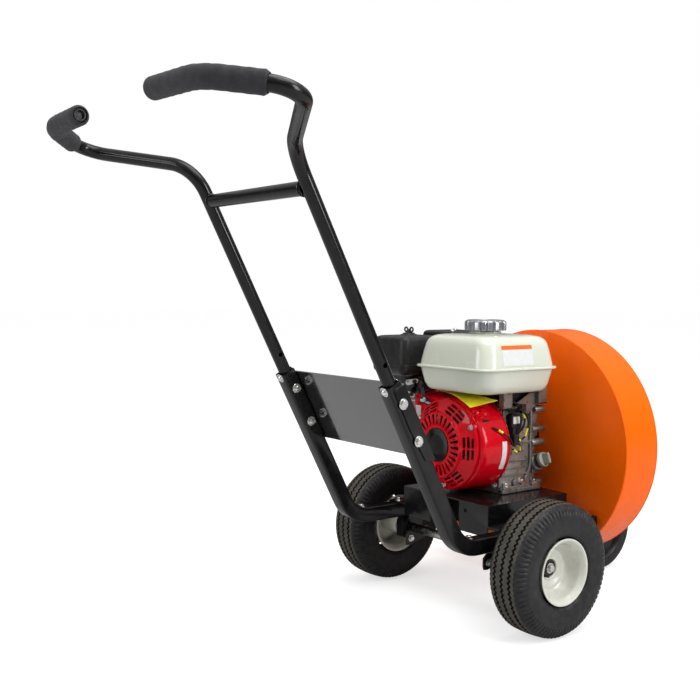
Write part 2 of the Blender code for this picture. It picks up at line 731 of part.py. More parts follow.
def fan_cover_outline(height=0.0985, width=0.108):
    """Back view: an oval round the flywheel with a square shoulder over the cylinder."""
    outline = []
    for u, v in arc((0, 0), 1.0, 78, -165, 34):
        outline.append((CRANK_X + (width if u > 0 else height) * u, CRANK_Z + height * v))
    outline += [(-0.124, 0.345), (-0.128, 0.372)]
    outline += arc((-0.116, 0.429), 0.012, 180, 90, 3)
    return outline


def fan_cover():
    hole = circle((CRANK_X, CRANK_Z), 0.080, 32)
    back_tray("fan_cover", list(reversed(fan_cover_outline())), 0.072, 0.0018, -0.022, RED, holes=(hole,),
              flare=1.04)


def recoil_cover():
    """Domed starter cover with a ring of radial slots and groups of outer vents."""
    w = 0.0018
    outer = [(0.0, 0.0320), (0.0680, 0.0320), (0.0740, 0.0260), (0.0780, 0.0170), (0.0930, 0.0130),
             (0.0965, 0.0090), (0.0965, 0.0)]
    inner = [(0.0965 - w, 0.0), (0.0965 - w, 0.0085), (0.0920, 0.0130 - w), (0.0770, 0.0170 - w),
             (0.0725, 0.0255), (0.0670, 0.0320 - w), (0.0, 0.0320 - w)]
    dome = turned("recoil_cover", outer + inner, (CRANK_X, -0.0223, CRANK_Z), (0, -1, 0), RED, steps=28)
    for i in range(12):
        a = math.radians(30 * i)
        along, across = Vector((math.cos(a), math.sin(a))), Vector((-math.sin(a), math.cos(a)))
        middle = Vector((CRANK_X, CRANK_Z))
        outline = [middle + along * 0.043 - across * 0.0018, middle + along * 0.065 - across * 0.0030,
                   middle + along * 0.065 + across * 0.0030, middle + along * 0.043 + across * 0.0018]
        cutter = plate(f"recoil_slot_{i}", [[tuple(p) for p in outline]], 0.012, (0, -0.0543, 0), BACK_VIEW,
                       holder=CUTTERS)
        cut(dome, cutter)


def recoil_reel():
    """Rope pulley behind the starter cover; it turns on the cover's centre."""
    rim, groove, half = 0.050, 0.042, 0.0070
    profile = [(0, half), (rim, half), (rim, half - 0.002), (groove, 0), (rim, -half + 0.002), (rim, -half),
               (0, -half)]
    turned("recoil_reel", profile, (CRANK_X, -0.0440, CRANK_Z), (0, -1, 0), BLACK_PLASTIC, steps=24)


def starter_grip():
    """T-shaped pull grip at the left of the starter cover."""
    x, y, z = -0.1335, -0.0440, CRANK_Z + 0.042
    grip = box("starter_grip", (x - 0.018, y - 0.011, z - 0.042), (x, y + 0.011, z + 0.042), BLACK_PLASTIC)
    grip.modifiers.new("rounding", "BEVEL").width = 0.006
    grip.modifiers["rounding"].segments = 2
    neck = rod("grip_neck", (x - 0.004, y, z), (x + 0.0130, y, z), 0.006, steps=12, holder=CUTTERS)
    combine(grip, neck)


def crankshaft():
    """Two journals, two webs, the crank pin and the output end."""
    x, z, throw = CRANK_X, CRANK_Z, 0.0225
    shaft = rod("crankshaft", (x, -0.012, z), (x, 0.062, z), AXLE_R, STEEL, 20)
    pieces = ((0.040, 0.073, 0.0, 0.0160), (0.070, 0.085, -0.006, 0.038), (0.082, 0.118, throw, 0.0150),
              (0.115, 0.130, -0.006, 0.038), (0.128, 0.180, 0.0, 0.0120), (0.128, 0.2665, 0.0, AXLE_R))
    for i, (rear, front, rise, radius) in enumerate(pieces):
        piece = rod(f"crank_piece_{i}", (x, rear, z + rise), (x, front, z + rise), radius, steps=16,
                    holder=CUTTERS)
        combine(shaft, piece)


def flywheel():
    bore = AXLE_R + GAP
    profile = [(0.082, 0.010), (0.082, -0.012), (0.074, -0.012), (0.070, 0.002), (0.024, 0.004),
               (0.022, -0.012), (bore, -0.012), (bore, 0.014), (0.024, 0.014), (0.070, 0.010)]
    turned("flywheel", profile, (CRANK_X, 0.020, CRANK_Z), (0, -1, 0), ALUMINIUM, steps=26, closed=True)


def starter_cup():
    bore = AXLE_R + GAP
    profile = [(0.036, 0.022), (0.036, 0), (bore, 0), (bore, 0.0018), (0.0342, 0.0018), (0.0342, 0.022)]
    turned("starter_cup", profile, (CRANK_X, 0.0055, CRANK_Z), (0, -1, 0), DARK_STEEL, steps=22, closed=True)


def fuel_tank():
    cx, cy = TANK_MID
    base = 0.455

    def ring(height, half, radius):
        return height, rounded_box((cx, cy), (half, half + 0.003), radius, 3)

    rings = [ring(base, 0.080, 0.030), ring(base + 0.006, 0.096, 0.036), ring(base + 0.024, 0.103, 0.038),
             ring(0.5045, 0.1075, 0.038), ring(0.5050, 0.1150, 0.040), ring(0.5090, 0.1150, 0.040),
             ring(0.5095, 0.1075, 0.038), ring(0.540, 0.1010, 0.036), ring(0.562, 0.092, 0.034),
             ring(0.5715, 0.078, 0.032)]
    neck = arc(CAP_MID, 0.032, 11.25, 371.25 - 22.5, 15)
    rings += [(0.5765, neck), (0.5800, neck)]
    stack("fuel_tank", rings, CREAM, wall=0.0016, open_top=True)


def fuel_cap():
    profile = [(0, 0.0225), (0.038, 0.0225), (0.0425, 0.0195), (0.0440, 0.015), (0.0440, 0.0), (0.0400, 0.0),
               (0.0400, 0.016), (0.0, 0.016)]
    turned("fuel_cap", profile, (*CAP_MID, 0.5835), (0, 0, 1), CHROME, steps=26)


def tank_bracket():
    """Stand between the crankcase and the tank, with legs along its right side."""
    low, high = 0.435 + 2 * GAP, 0.455 - GAP
    stand = box("tank_bracket", (-0.050, 0.075, high - 0.003), (0.075, 0.158, high), ALUMINIUM)
    for i, (x, y) in enumerate(((0.022, 0.078), (0.022, 0.143), (-0.045, 0.078), (-0.045, 0.143))):
        leg = box(f"tank_leg_{i}", (x, y, low), (x + 0.012, y + 0.012, high - 0.001), holder=CUTTERS)
        combine(stand, leg)


def air_cleaner():
    cx, cy, hx, hy = -0.1675, -0.0100, 0.0575, 0.0640
    floor = 0.4760
    base = [(0.0, rounded_box((cx, cy), (hx - 0.012, hy - 0.012), 0.012)),
            (0.014, rounded_box((cx, cy), (hx, hy), 0.016)), (0.021, rounded_box((cx, cy), (hx, hy), 0.016))]
    stack("air_cleaner_base", base, BLACK_PLASTIC, (0, 0, floor))
    lid = [(0.0, rounded_box((cx, cy), (hx - 0.014, hy - 0.014), 0.012)),
           (0.008, rounded_box((cx, cy), (hx - 0.004, hy - 0.004), 0.016)),
           (0.072, rounded_box((cx, cy), (hx, hy), 0.016))]
    stack("air_cleaner_cover", [(h, [(u, -v) for u, v in ring]) for h, ring in lid], BLACK_PLASTIC,
          (0, 0, floor + 0.021 + GAP + 0.072), wall=0.002, open_top=True, view=UPSIDE_DOWN)
    element = [rounded_box((cx, cy), (0.040, 0.044), 0.014, 4),
               rounded_box((cx, cy), (0.022, 0.026), 0.010, 4)]
    plate("air_filter", element, 0.050, (0, 0, floor + 0.021 + 2 * GAP + 0.025), TOP_VIEW, FOAM)
    top = floor + 0.021 + GAP + 0.072 + GAP
    nut = rod("air_cleaner_wing_nut", (cx, cy, top), (cx, cy, top + 0.008), 0.0085, BLACK_PLASTIC, 16)
    for side in (-1, 1):
        lobe = rod(f"wing_{side}", (cx + side * 0.011, cy - 0.002, top + 0.009),
                   (cx + side * 0.011, cy + 0.002, top + 0.009), 0.0075, steps=12, holder=CUTTERS)
        combine(nut, lobe)


def carburettor():
    body = box("carburettor", (-0.190, 0.002, 0.4200), (-0.1450, 0.0530, 0.4755), ALUMINIUM)
    bowl = rod("carburettor_bowl", (-0.1675, 0.0270, 0.3900), (-0.1675, 0.0270, 0.4210), 0.0200, steps=20,
               holder=CUTTERS)
    combine(body, bowl)


def lever(name, pivot, reach, finish, thickness=0.0025):
    """Flat lever lying across the rear of the engine, its tip at reach from the pivot."""
    tip = Vector(reach)
    a = math.degrees(math.atan2(tip.y, tip.x))
    outline = arc((0, 0), 0.0065, a + 90, a + 270, 8)
    outline += arc(tuple(tip), 0.0050, a - 90, a + 90, 8)
    plate(name, [outline], thickness, pivot, BACK_VIEW, finish)


def muffler():
    """Folded steel box with its outlet on the left."""
    wall = 0.0015
    low, high = Vector((-0.2010, 0.0680, 0.4560)), Vector((-0.1080, 0.1620, 0.5600))
    inset = Vector((wall, wall, wall))
    body = box("muffler", low, high, DARK_STEEL, bevel=0.012)
    cut(body, box("muffler_room", low + inset, high - inset, bevel=0.0105, holder=CUTTERS))
    y, z = 0.115, 0.500
    cut(body, rod("muffler_outlet", (low.x - 0.005, y, z), (low.x + 0.02, y, z), 0.008, steps=12,
                  holder=CUTTERS))


def muffler_guard():
    cx, cy, hx, hy = -0.1550, 0.1150, 0.0535, 0.0560
    depth = 0.105
    rings = [(0.0, rounded_box((cx, -cy), (hx - 0.010, hy - 0.010), 0.010)),
             (0.008, rounded_box((cx, -cy), (hx - 0.001, hy - 0.001), 0.014)),
             (depth, rounded_box((cx, -cy), (hx, hy), 0.014))]
    stack("muffler_guard", rings, BLACK, (0, 0, 0.5760), wall=0.0012, open_top=True, view=UPSIDE_DOWN)


def spark_plug_cap():
    profile = [(0, 0.030), (0.007, 0.030), (0.0085, 0.026), (0.0085, 0.004), (0.0065, 0), (0, 0)]
    x, z = lean(0.145, 0.0)
    turned("spark_plug_cap", profile, (x, 0.1535, z), (0, 1, 0), BLACK_PLASTIC, steps=14)


def dipstick():
    """Oil filler cap with a finger bar, on the crankcase's right side."""
    where, out = (0.0585, 0.1700, 0.2960), (0.94, 0.0, 0.34)
    neck = [(0, 0.018), (0.0150, 0.018), (0.0160, 0.016), (0.0160, 0.008), (0.0120, 0.006), (0.0120, 0),
            (0, 0)]
    cap = turned("dipstick", [(r, h + 0.006) for r, h in neck], where, out, GREY_PLASTIC, steps=20)
    turn = axis_turn(out)
    mesh = bpy.data.meshes.new("finger_bar")
    bm = bmesh.new()
    bmesh.ops.create_cube(bm, size=1.0)
    bmesh.ops.scale(bm, vec=(0.026, 0.007, 0.016), verts=bm.verts)
    bmesh.ops.translate(bm, vec=(0, 0, 0.030), verts=bm.verts)
    bm.to_mesh(mesh)
    bm.free()
    combine(cap, place("finger_bar", mesh, None, spot(*where), turn, CUTTERS))


def engine_switch():
    """Rotary stop switch on the fan cover's upper right."""
    x, z = CRANK_X + 0.0875, CRANK_Z + 0.0745
    knob = [(0, 0.010), (0.006, 0.010), (0.0075, 0.008), (0.0075, 0), (0, 0)]
    switch = turned("engine_switch", knob, (x, -0.0225, z), (0, -1, 0), BLACK_PLASTIC, steps=16)
    combine(switch, box("switch_bar", (x - 0.0022, -0.0370, z - 0.0080), (x + 0.0022, -0.0310, z + 0.0080),
                        holder=CUTTERS))


clear_scene()
PARTS = collection("walk_behind_blower")
CUTTERS = collection("cutters")

BLACK = paint("gloss_black_paint", (0.012, 0.012, 0.013), 0.22, 0.0)
ORANGE = paint("orange_paint", (0.86, 0.22, 0.01), 0.28)
RED = paint("red_paint", (0.62, 0.008, 0.02), 0.18)
CREAM = paint("cream_paint", (0.80, 0.80, 0.70), 0.30)
ALUMINIUM = paint("cast_aluminium", (0.55, 0.54, 0.52), 0.45, 1.0)
STEEL = paint("bright_steel", (0.62, 0.61, 0.59), 0.30, 1.0)
DARK_STEEL = paint("dark_steel", (0.10, 0.10, 0.10), 0.45, 0.8)
ZINC = paint("zinc_plate", (0.72, 0.73, 0.72), 0.28, 1.0)
CHROME = paint("chrome_cap", (0.85, 0.85, 0.86), 0.12, 1.0)
RUBBER = paint("tyre_rubber", (0.035, 0.035, 0.037), 0.75)
FOAM = paint("grip_foam", (0.060, 0.062, 0.068), 0.90)
BLACK_PLASTIC = paint("black_plastic", (0.018, 0.018, 0.020), 0.45)
GREY_PLASTIC = paint("grey_plastic", (0.42, 0.42, 0.38), 0.50)

lower_tube(-1, "left_lower_tube")
lower_tube(1, "right_lower_tube")
handle_plate()
for bolt_side, bolt_word in ((-1, "left"), (1, "right")):
    handle_bolt(f"handle_bolt_{bolt_word}_upper", bolt_side, HANDLE_STEP)
    handle_bolt(f"handle_bolt_{bolt_word}_lower", bolt_side, 0.0)
engine_deck()
axle()
for wheel_side, wheel_word in ((-1, "left"), (1, "right")):
    axle_hanger(wheel_side, f"{wheel_word}_axle_hanger")
    axle_nut(wheel_side, f"{wheel_word}_axle_nut")
    wheel(wheel_side, wheel_word)
upper_handle()
fan_housing()
housing_cover()
intake_guard()
impeller()
caster_bracket()
caster_fork()
caster_wheel()
crankcase()
crankcase_cover()
cylinder_head()
rocker_cover()
fan_cover()
recoil_cover()
recoil_reel()
starter_grip()
crankshaft()
flywheel()
starter_cup()
fuel_tank()
fuel_cap()
tank_bracket()
air_cleaner()
carburettor()
lever("choke_lever", (-0.1500, -0.0260, 0.4620), (0.030, 0.006), ZINC)
lever("fuel_valve_lever", (-0.1500, -0.0320, 0.4400), (0.026, -0.004), ZINC)
lever("throttle_lever", (-0.0850, -0.0330, 0.4300), (-0.012, 0.036), ZINC)
muffler()
muffler_guard()
spark_plug_cap()
dipstick()
engine_switch()

hang("handle_slide", spot(0, *along_tube(HANDLE_FOOT)), "left_handle_tube", "right_handle_tube",
     "handle_crossbar", "left_grip", "right_grip")
for wheel_side, wheel_word in ((-1, "left"), (1, "right")):
    hang(f"{wheel_word}_wheel_axis", spot(wheel_side * TRACK_HALF, 0, AXLE_Z), f"{wheel_word}_tyre",
         f"{wheel_word}_rim", f"{wheel_word}_hub_bearing")
hang("caster_swivel_axis", spot(0, PIVOT_Y, CASTER_R), "caster_fork", "caster_axle_bolt")
hang("caster_roll_axis", spot(0, CASTER_Y, CASTER_R), "caster_tyre", "caster_rim")
hang("crank_axis", spot(CRANK_X, 0, CRANK_Z), "crankshaft", "flywheel", "starter_cup", "impeller")
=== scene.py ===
"""Studio scene of a walk-behind wheeled blower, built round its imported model.

Places are given by at(x, y, z): x from the centre plane, y forward of the main axle, z above the ground.
"""
import json
import math

import bmesh
import bpy
from mathutils import Matrix, Vector


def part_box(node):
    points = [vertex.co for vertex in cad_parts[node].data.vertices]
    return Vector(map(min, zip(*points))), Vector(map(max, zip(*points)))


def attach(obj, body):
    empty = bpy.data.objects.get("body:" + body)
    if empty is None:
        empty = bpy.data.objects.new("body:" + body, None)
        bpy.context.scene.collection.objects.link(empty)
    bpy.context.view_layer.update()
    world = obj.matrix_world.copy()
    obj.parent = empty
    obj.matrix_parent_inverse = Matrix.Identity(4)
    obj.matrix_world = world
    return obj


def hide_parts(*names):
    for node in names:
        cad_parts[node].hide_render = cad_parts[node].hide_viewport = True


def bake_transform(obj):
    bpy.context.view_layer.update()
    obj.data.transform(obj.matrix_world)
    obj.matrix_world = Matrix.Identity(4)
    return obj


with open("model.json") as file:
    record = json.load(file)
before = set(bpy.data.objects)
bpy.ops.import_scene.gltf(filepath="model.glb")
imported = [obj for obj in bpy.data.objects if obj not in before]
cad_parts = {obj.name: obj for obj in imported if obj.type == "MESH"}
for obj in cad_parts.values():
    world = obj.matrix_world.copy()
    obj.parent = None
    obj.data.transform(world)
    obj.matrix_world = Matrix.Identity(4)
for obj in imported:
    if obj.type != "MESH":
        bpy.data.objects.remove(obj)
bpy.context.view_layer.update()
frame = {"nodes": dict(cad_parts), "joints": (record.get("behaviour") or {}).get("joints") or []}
JOINT = {joint["name"]: joint for joint in frame["joints"]}
SCENE = bpy.context.scene


def middle(node):
    low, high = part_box(node)
    return (low + high) / 2


AXLE = middle("axle")
CRANK = Vector((middle("flywheel").x, 0.0, middle("flywheel").z))
UP_TUBE = Vector(JOINT["handle_height"]["axis"])
OFF_TUBE = Vector((0, UP_TUBE.z, -UP_TUBE.y))
TUBE_X = middle("right_lower_tube").x
WHEEL_X = Vector(JOINT["right_wheel_spin"]["pos_m"]).x
SIDES = ((-1, "left"), (1, "right"))


def at(x, y, z):
    """A place measured from the main axle's line and the ground."""
    return Vector((x, AXLE.y + y, z))


# Materials -------------------------------------------------------------------------------------

def surface(name, colour, rough, metal=0.0, coat=0.0, mottle=0.06, mottle_scale=14.0, rough_range=0.08,
            bump=0.0, bump_scale=900.0, dust=0.0, dust_colour=(0.32, 0.28, 0.23), sheen=0.0, specular=0.5):
    """A finish whose colour, gloss and fine relief all vary over the surface."""
    made = bpy.data.materials.new(name)
    made.use_nodes = True
    nodes, links = made.node_tree.nodes, made.node_tree.links
    shader = nodes["Principled BSDF"]
    shader.inputs["Metallic"].default_value = metal
    shader.inputs["Coat Weight"].default_value = coat
    shader.inputs["Coat Roughness"].default_value = 0.06
    shader.inputs["Sheen Weight"].default_value = sheen
    shader.inputs["Specular IOR Level"].default_value = specular
    place = nodes.new("ShaderNodeTexCoord")

    def noise(scale, detail=4.0):
        made_noise = nodes.new("ShaderNodeTexNoise")
        made_noise.inputs["Scale"].default_value = scale
        made_noise.inputs["Detail"].default_value = detail
        links.new(place.outputs["Object"], made_noise.inputs["Vector"])
        return made_noise.outputs["Fac"]

    def spread(source, low, high, start=0.3, end=0.7):
        ranged = nodes.new("ShaderNodeMapRange")
        ranged.inputs["From Min"].default_value = start
        ranged.inputs["From Max"].default_value = end
        ranged.inputs["To Min"].default_value = low
        ranged.inputs["To Max"].default_value = high
        links.new(source, ranged.inputs["Value"])
        return ranged.outputs["Result"]

    def blend(factor, first, second):
        mix = nodes.new("ShaderNodeMix")
        mix.data_type = "RGBA"
        if isinstance(first, tuple):
            mix.inputs["A"].default_value = (*first, 1.0)
        else:
            links.new(first, mix.inputs["A"])
        mix.inputs["B"].default_value = (*second, 1.0)
        links.new(factor, mix.inputs["Factor"])
        return mix.outputs["Result"]

    dark = tuple(c * (1 - mottle) for c in colour)
    light = tuple(min(1.0, c * (1 + mottle)) for c in colour)
    tone = blend(spread(noise(mottle_scale), 0.0, 1.0), dark, light)
    if dust:
        facing = nodes.new("ShaderNodeNewGeometry")
        split = nodes.new("ShaderNodeSeparateXYZ")
        links.new(facing.outputs["Normal"], split.inputs["Vector"])
        up = spread(split.outputs["Z"], 0.35, 1.0, -0.2, 0.9)
        patchy = spread(noise(mottle_scale * 4.0, 8.0), 0.0, dust, 0.42, 0.7)
        both = nodes.new("ShaderNodeMath")
        both.operation = "MULTIPLY"
        links.new(up, both.inputs[0])
        links.new(patchy, both.inputs[1])
        tone = blend(both.outputs["Value"], tone, dust_colour)
    links.new(tone, shader.inputs["Base Color"])
    gloss = spread(noise(mottle_scale * 2.5, 6.0), max(0.02, rough - rough_range),
                   min(1.0, rough + rough_range))
    links.new(gloss, shader.inputs["Roughness"])
    if bump:
        relief = nodes.new("ShaderNodeBump")
        relief.inputs["Strength"].default_value = bump
        relief.inputs["Distance"].default_value = 0.0004
        links.new(noise(bump_scale, 3.0), relief.inputs["Height"])
        links.new(relief.outputs["Normal"], shader.inputs["Normal"])
    return made


BLACK = surface("gloss_black", (0.004, 0.004, 0.005), 0.18, coat=0.06, bump=0.1, bump_scale=420, dust=0.03,
                mottle=0.2, specular=0.28)
PLATE_BLACK = surface("plate_black", (0.01, 0.01, 0.011), 0.14, coat=1.0, bump=0.06, bump_scale=420,
                      dust=0.03, mottle=0.2, specular=1.0)
ORANGE = surface("orange_paint", (0.93, 0.126, 0.001), 0.3, coat=0.04, bump=0.1, bump_scale=380,
                 mottle=0.035, specular=0.12)
RED = surface("red_paint", (0.62, 0.001, 0.01), 0.13, coat=0.1, bump=0.05, bump_scale=300, mottle=0.05,
              specular=0.18)
CREAM = surface("cream_enamel", (0.62, 0.645, 0.55), 0.2, coat=0.3, bump=0.05, bump_scale=260, mottle=0.02)
RIM_PAINT = surface("rim_enamel", (0.62, 0.63, 0.56), 0.3, coat=0.2, bump=0.08, mottle=0.03, dust=0.35,
                    dust_colour=(0.42, 0.36, 0.28))
CASTING = surface("cast_aluminium", (0.2, 0.194, 0.18), 0.34, metal=0.65, bump=0.75, bump_scale=700,
                  mottle=0.32, mottle_scale=30, rough_range=0.14, dust=0.2, dust_colour=(0.2, 0.15, 0.11))
BARE_STEEL = surface("bare_steel", (0.56, 0.55, 0.53), 0.28, metal=1.0, bump=0.15, mottle=0.1,
                     mottle_scale=40)
DARK_STEEL = surface("dark_steel", (0.045, 0.045, 0.047), 0.42, metal=0.6, bump=0.35, mottle=0.15)
ZINC = surface("zinc_plate", (0.66, 0.66, 0.64), 0.24, metal=1.0, bump=0.12, mottle=0.12, mottle_scale=60)
CHROME = surface("chrome", (0.36, 0.36, 0.39), 0.3, metal=0.85, bump=0.04, mottle=0.02, rough_range=0.04)
SIDEWALL = surface("tyre_sidewall", (0.011, 0.011, 0.013), 0.46, specular=0.25, bump=0.45, bump_scale=1300,
                   mottle=0.18, mottle_scale=20, dust=0.08)
TREAD = surface("tyre_tread", (0.062, 0.056, 0.046), 0.7, specular=0.25, bump=0.6, bump_scale=900,
                mottle=0.3, mottle_scale=45)
# Near-black finish for the grooves' faces, darker than the sidewall rubber: painted shade in the grooves.
GROOVE_SHADE = surface("tyre_groove_painted_shade", (0.004, 0.004, 0.005), 0.85, specular=0.2, bump=0.4, mottle=0.2)
FOAM = surface("grip_foam", (0.028, 0.028, 0.032), 0.85, specular=0.3, bump=1.0, bump_scale=1500,
               mottle=0.22, mottle_scale=70, sheen=0.08)
BLACK_PLASTIC = surface("black_plastic", (0.01, 0.01, 0.012), 0.38, specular=0.35, bump=0.5,
                        bump_scale=1600, mottle=0.12, dust=0.08)
BLACK_RUBBER = surface("black_rubber", (0.009, 0.009, 0.01), 0.5, specular=0.3, bump=0.25, mottle=0.12)
GREY_PLASTIC = surface("grey_plastic", (0.3, 0.3, 0.25), 0.46, bump=0.3, mottle=0.08)
YELLOW = surface("yellow_tag", (0.86, 0.76, 0.02), 0.38, bump=0.1, mottle=0.06, mottle_scale=60)
LABEL = surface("blank_label", (0.68, 0.69, 0.68), 0.32, coat=0.3, bump=0.05, mottle=0.03, mottle_scale=90)
LABEL_ORANGE = surface("label_orange", (0.9, 0.13, 0.005), 0.34, coat=0.3, bump=0.05, mottle=0.04)


# Shape makers ----------------------------------------------------------------------------------

WELD = 0.00002
SAME_PLACE = 0.00001


def frame_at(origin, axis):
    """A frame at a place, with its Z along an axis."""
    turn = Vector((0, 0, 1)).rotation_difference(Vector(axis).normalized())
    return Matrix.Translation(origin) @ turn.to_matrix().to_4x4()


def publish(name, bm, finish, body, angle=35.0, bevel=0.0, segments=2, nodes=()):
    """Make an object from the mesh, give it its finish and fasten it to a body."""
    bmesh.ops.recalc_face_normals(bm, faces=bm.faces)
    mesh = bpy.data.meshes.new(name)
    bm.to_mesh(mesh)
    bm.free()
    obj = bpy.data.objects.new(name, mesh)
    SCENE.collection.objects.link(obj)
    for each in finish if isinstance(finish, tuple) else (finish,):
        mesh.materials.append(each)
    mesh.shade_smooth()
    mesh.set_sharp_from_angle(angle=math.radians(angle))
    if bevel:
        edge = obj.modifiers.new("edges", "BEVEL")
        edge.width = bevel
        edge.segments = segments
        edge.limit_method = "ANGLE"
        edge.angle_limit = math.radians(40)
        edge.harden_normals = True
    if body:
        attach(obj, body)
    if nodes:
        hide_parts(*nodes)
    return obj


def bridge(bm, one, two):
    """Faces between two rings of vertices, either of which may be a single vertex."""
    count = max(len(one), len(two))
    faces = []
    for i in range(count if count > 1 else 0):
        j = (i + 1) % count
        corners = (one[i % len(one)], one[j % len(one)], two[j % len(two)], two[i % len(two)])
        faces.append(bm.faces.new(list(dict.fromkeys(corners))))
    return faces


def bridge_all(bm, rings):
    for one, two in zip(rings, rings[1:]):
        bridge(bm, one, two)


def add_cylinder(bm, start, end, radius, tip=None, steps=32):
    start, end = Vector(start), Vector(end)
    matrix = frame_at((start + end) / 2, end - start)
    bmesh.ops.create_cone(bm, cap_ends=True, segments=steps, radius1=radius, matrix=matrix,
                          radius2=radius if tip is None else tip, depth=(end - start).length)


def add_box(bm, centre, size):
    bmesh.ops.create_cube(bm, size=1.0, matrix=Matrix.Translation(centre) @ Matrix.Diagonal((*size, 1.0)))


def add_turned(bm, profile, where, axis, steps=64, closed=False):
    """Spin (radius, height) points about an axis. It is solid if its ends are on the axis, else a ring."""
    matrix = frame_at(where, axis)
    rings = []
    for radius, height in profile:
        turns = ring(radius, steps) if radius else [(0.0, 0.0)]
        rings.append([bm.verts.new(matrix @ Vector((u, v, height))) for u, v in turns])
    bridge_all(bm, rings + rings[:1] if closed else rings)


def add_prism(bm, outline, matrix, thickness):
    """A flat outline given thickness along the matrix's Z, either side of its plane."""
    low, high = ([bm.verts.new(matrix @ Vector((u, v, side * thickness / 2))) for u, v in outline]
                 for side in (-1, 1))
    bm.faces.new(low)
    bm.faces.new(high)
    bridge(bm, low, high)


def add_loft(bm, rings, capped=True):
    levels = [[bm.verts.new(p) for p in level] for level in rings]
    bridge_all(bm, levels)
    if capped:
        bm.faces.new(levels[0])
        bm.faces.new(levels[-1])


def add_hoop(bm, rings):
    """A loft that ends where it began."""
    add_loft(bm, rings + rings[:1], capped=False)
    bmesh.ops.remove_doubles(bm, verts=bm.verts, dist=SAME_PLACE)


def add_sweep(bm, path, section, inner=None):
    """Carry a section along a path. With an inner section it is a hollow tube with open ends."""
    path = [Vector(p) for p in path]
    ahead = (path[1] - path[0]).normalized()
    side = ahead.cross(Vector((0, 0, 1)) if abs(ahead.z) < 0.9 else Vector((0, 1, 0))).normalized()
    shells = [[] for _ in range(2 if inner else 1)]
    for i, place in enumerate(path):
        before, after = path[max(i - 1, 0)], path[min(i + 1, len(path) - 1)]
        now = (after - before).normalized()
        side = ahead.rotation_difference(now) @ side
        ahead = now
        up = side.cross(now)
        for shell, outline in zip(shells, (section, inner)):
            shell.append([place + side * u + up * v for u, v in outline])
    if not inner:
        add_loft(bm, shells[0])
        return
    outer, bore = ([[bm.verts.new(p) for p in level] for level in shell] for shell in shells)
    bridge_all(bm, outer)
    bridge_all(bm, bore)
    for end in (0, -1):
        bridge(bm, outer[end], bore[end])


def ring(radius, steps=28):
    return [(radius * math.cos(math.tau * i / steps), radius * math.sin(math.tau * i / steps))
            for i in range(steps)]


def round_box(half_u, half_v, radius, steps=5):
    points = []
    for su, sv, start in ((1, 1, 0), (-1, 1, 90), (-1, -1, 180), (1, -1, 270)):
        cu, cv = su * (half_u - radius), sv * (half_v - radius)
        for i in range(steps + 1):
            a = math.radians(start + 90 * i / steps)
            points.append((cu + radius * math.cos(a), cv + radius * math.sin(a)))
    return points


def box_levels(node, levels):
    """Rounded outlines of a node's box, from each one's height, inset and corner radius."""
    low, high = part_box(node)
    centre, half = (low + high) / 2, (high - low) / 2
    outlines = []
    for z, inset, corner in levels:
        outline = round_box(half.x - inset, half.y - inset, corner, 8)
        outlines.append([Vector((centre.x + u, centre.y + v, z)) for u, v in outline])
    return outlines


def bent(points, radii, steps):
    """A route through points with its inner corners rounded."""
    points = [Vector(p) for p in points]
    route = [points[0]]
    for before, corner, after, radius in zip(points, points[1:], points[2:], radii):
        a, b = (before - corner).normalized(), (after - corner).normalized()
        half = a.angle(b) / 2
        reach = radius / math.tan(half)
        centre = corner + (a + b).normalized() * (radius / math.sin(half))
        first = (corner + a * reach - centre).normalized()
        last = (corner + b * reach - centre).normalized()
        route += [centre + first.slerp(last, i / steps) * radius for i in range(steps + 1)]
    route.append(points[-1])
    return route


def flowing(points):
    """A smooth curve through points."""
    steps = 6
    points = [Vector(p) for p in points]
    ends = [points[0] * 2 - points[1]] + points + [points[-1] * 2 - points[-2]]
    route = []
    for a, b, c, d in zip(ends, ends[1:], ends[2:], ends[3:]):
        for i in range(steps):
            t = i / steps
            route.append(0.5 * (2 * b + (c - a) * t + (2 * a - 5 * b + 4 * c - d) * t * t
                                + (3 * b - a - 3 * c + d) * t ** 3))
    return route + [points[-1]]


def wire(name, points, radius):
    bm = bmesh.new()
    add_sweep(bm, flowing(points), ring(radius, 12))
    publish(name, bm, BLACK_RUBBER, "chassis", 60)


def carve(obj, cutter_mesh):
    """Cut the closed shapes in a mesh out of an object."""
    bmesh.ops.recalc_face_normals(cutter_mesh, faces=cutter_mesh.faces)
    mesh = bpy.data.meshes.new("cutter")
    cutter_mesh.to_mesh(mesh)
    cutter_mesh.free()
    cutter = bpy.data.objects.new("cutter", mesh)
    SCENE.collection.objects.link(cutter)
    change = obj.modifiers.new("carve", "BOOLEAN")
    change.operation = "DIFFERENCE"
    change.object = cutter
    change.solver = "EXACT"
    change.use_self = True
    bpy.context.view_layer.update()
    done = bpy.data.meshes.new_from_object(obj.evaluated_get(bpy.context.evaluated_depsgraph_get()))
    obj.modifiers.clear()
    obj.data = done
    done.shade_smooth()
    done.set_sharp_from_angle(angle=math.radians(35))
    bpy.data.objects.remove(cutter)


def soften(node, finish, body, bevel, segments):
    """The CAD shape with its flats merged and its edges rounded."""
    bm = bmesh.new()
    bm.from_mesh(frame["nodes"][node].data)
    bmesh.ops.remove_doubles(bm, verts=bm.verts, dist=WELD)
    bmesh.ops.dissolve_limit(bm, angle_limit=math.radians(1.0), verts=bm.verts, edges=bm.edges)
    return publish(f"{node}_shape", bm, finish, body, 35.0, bevel, segments, nodes=(node,))


def turned(name, finish, profile, where, axis, body="chassis", steps=64, closed=False, angle=40.0,
           nodes=()):
    """A piece that is one turned shape."""
    bm = bmesh.new()
    add_turned(bm, profile, where, axis, steps, closed)
    publish(name, bm, finish, body, angle, nodes=nodes)


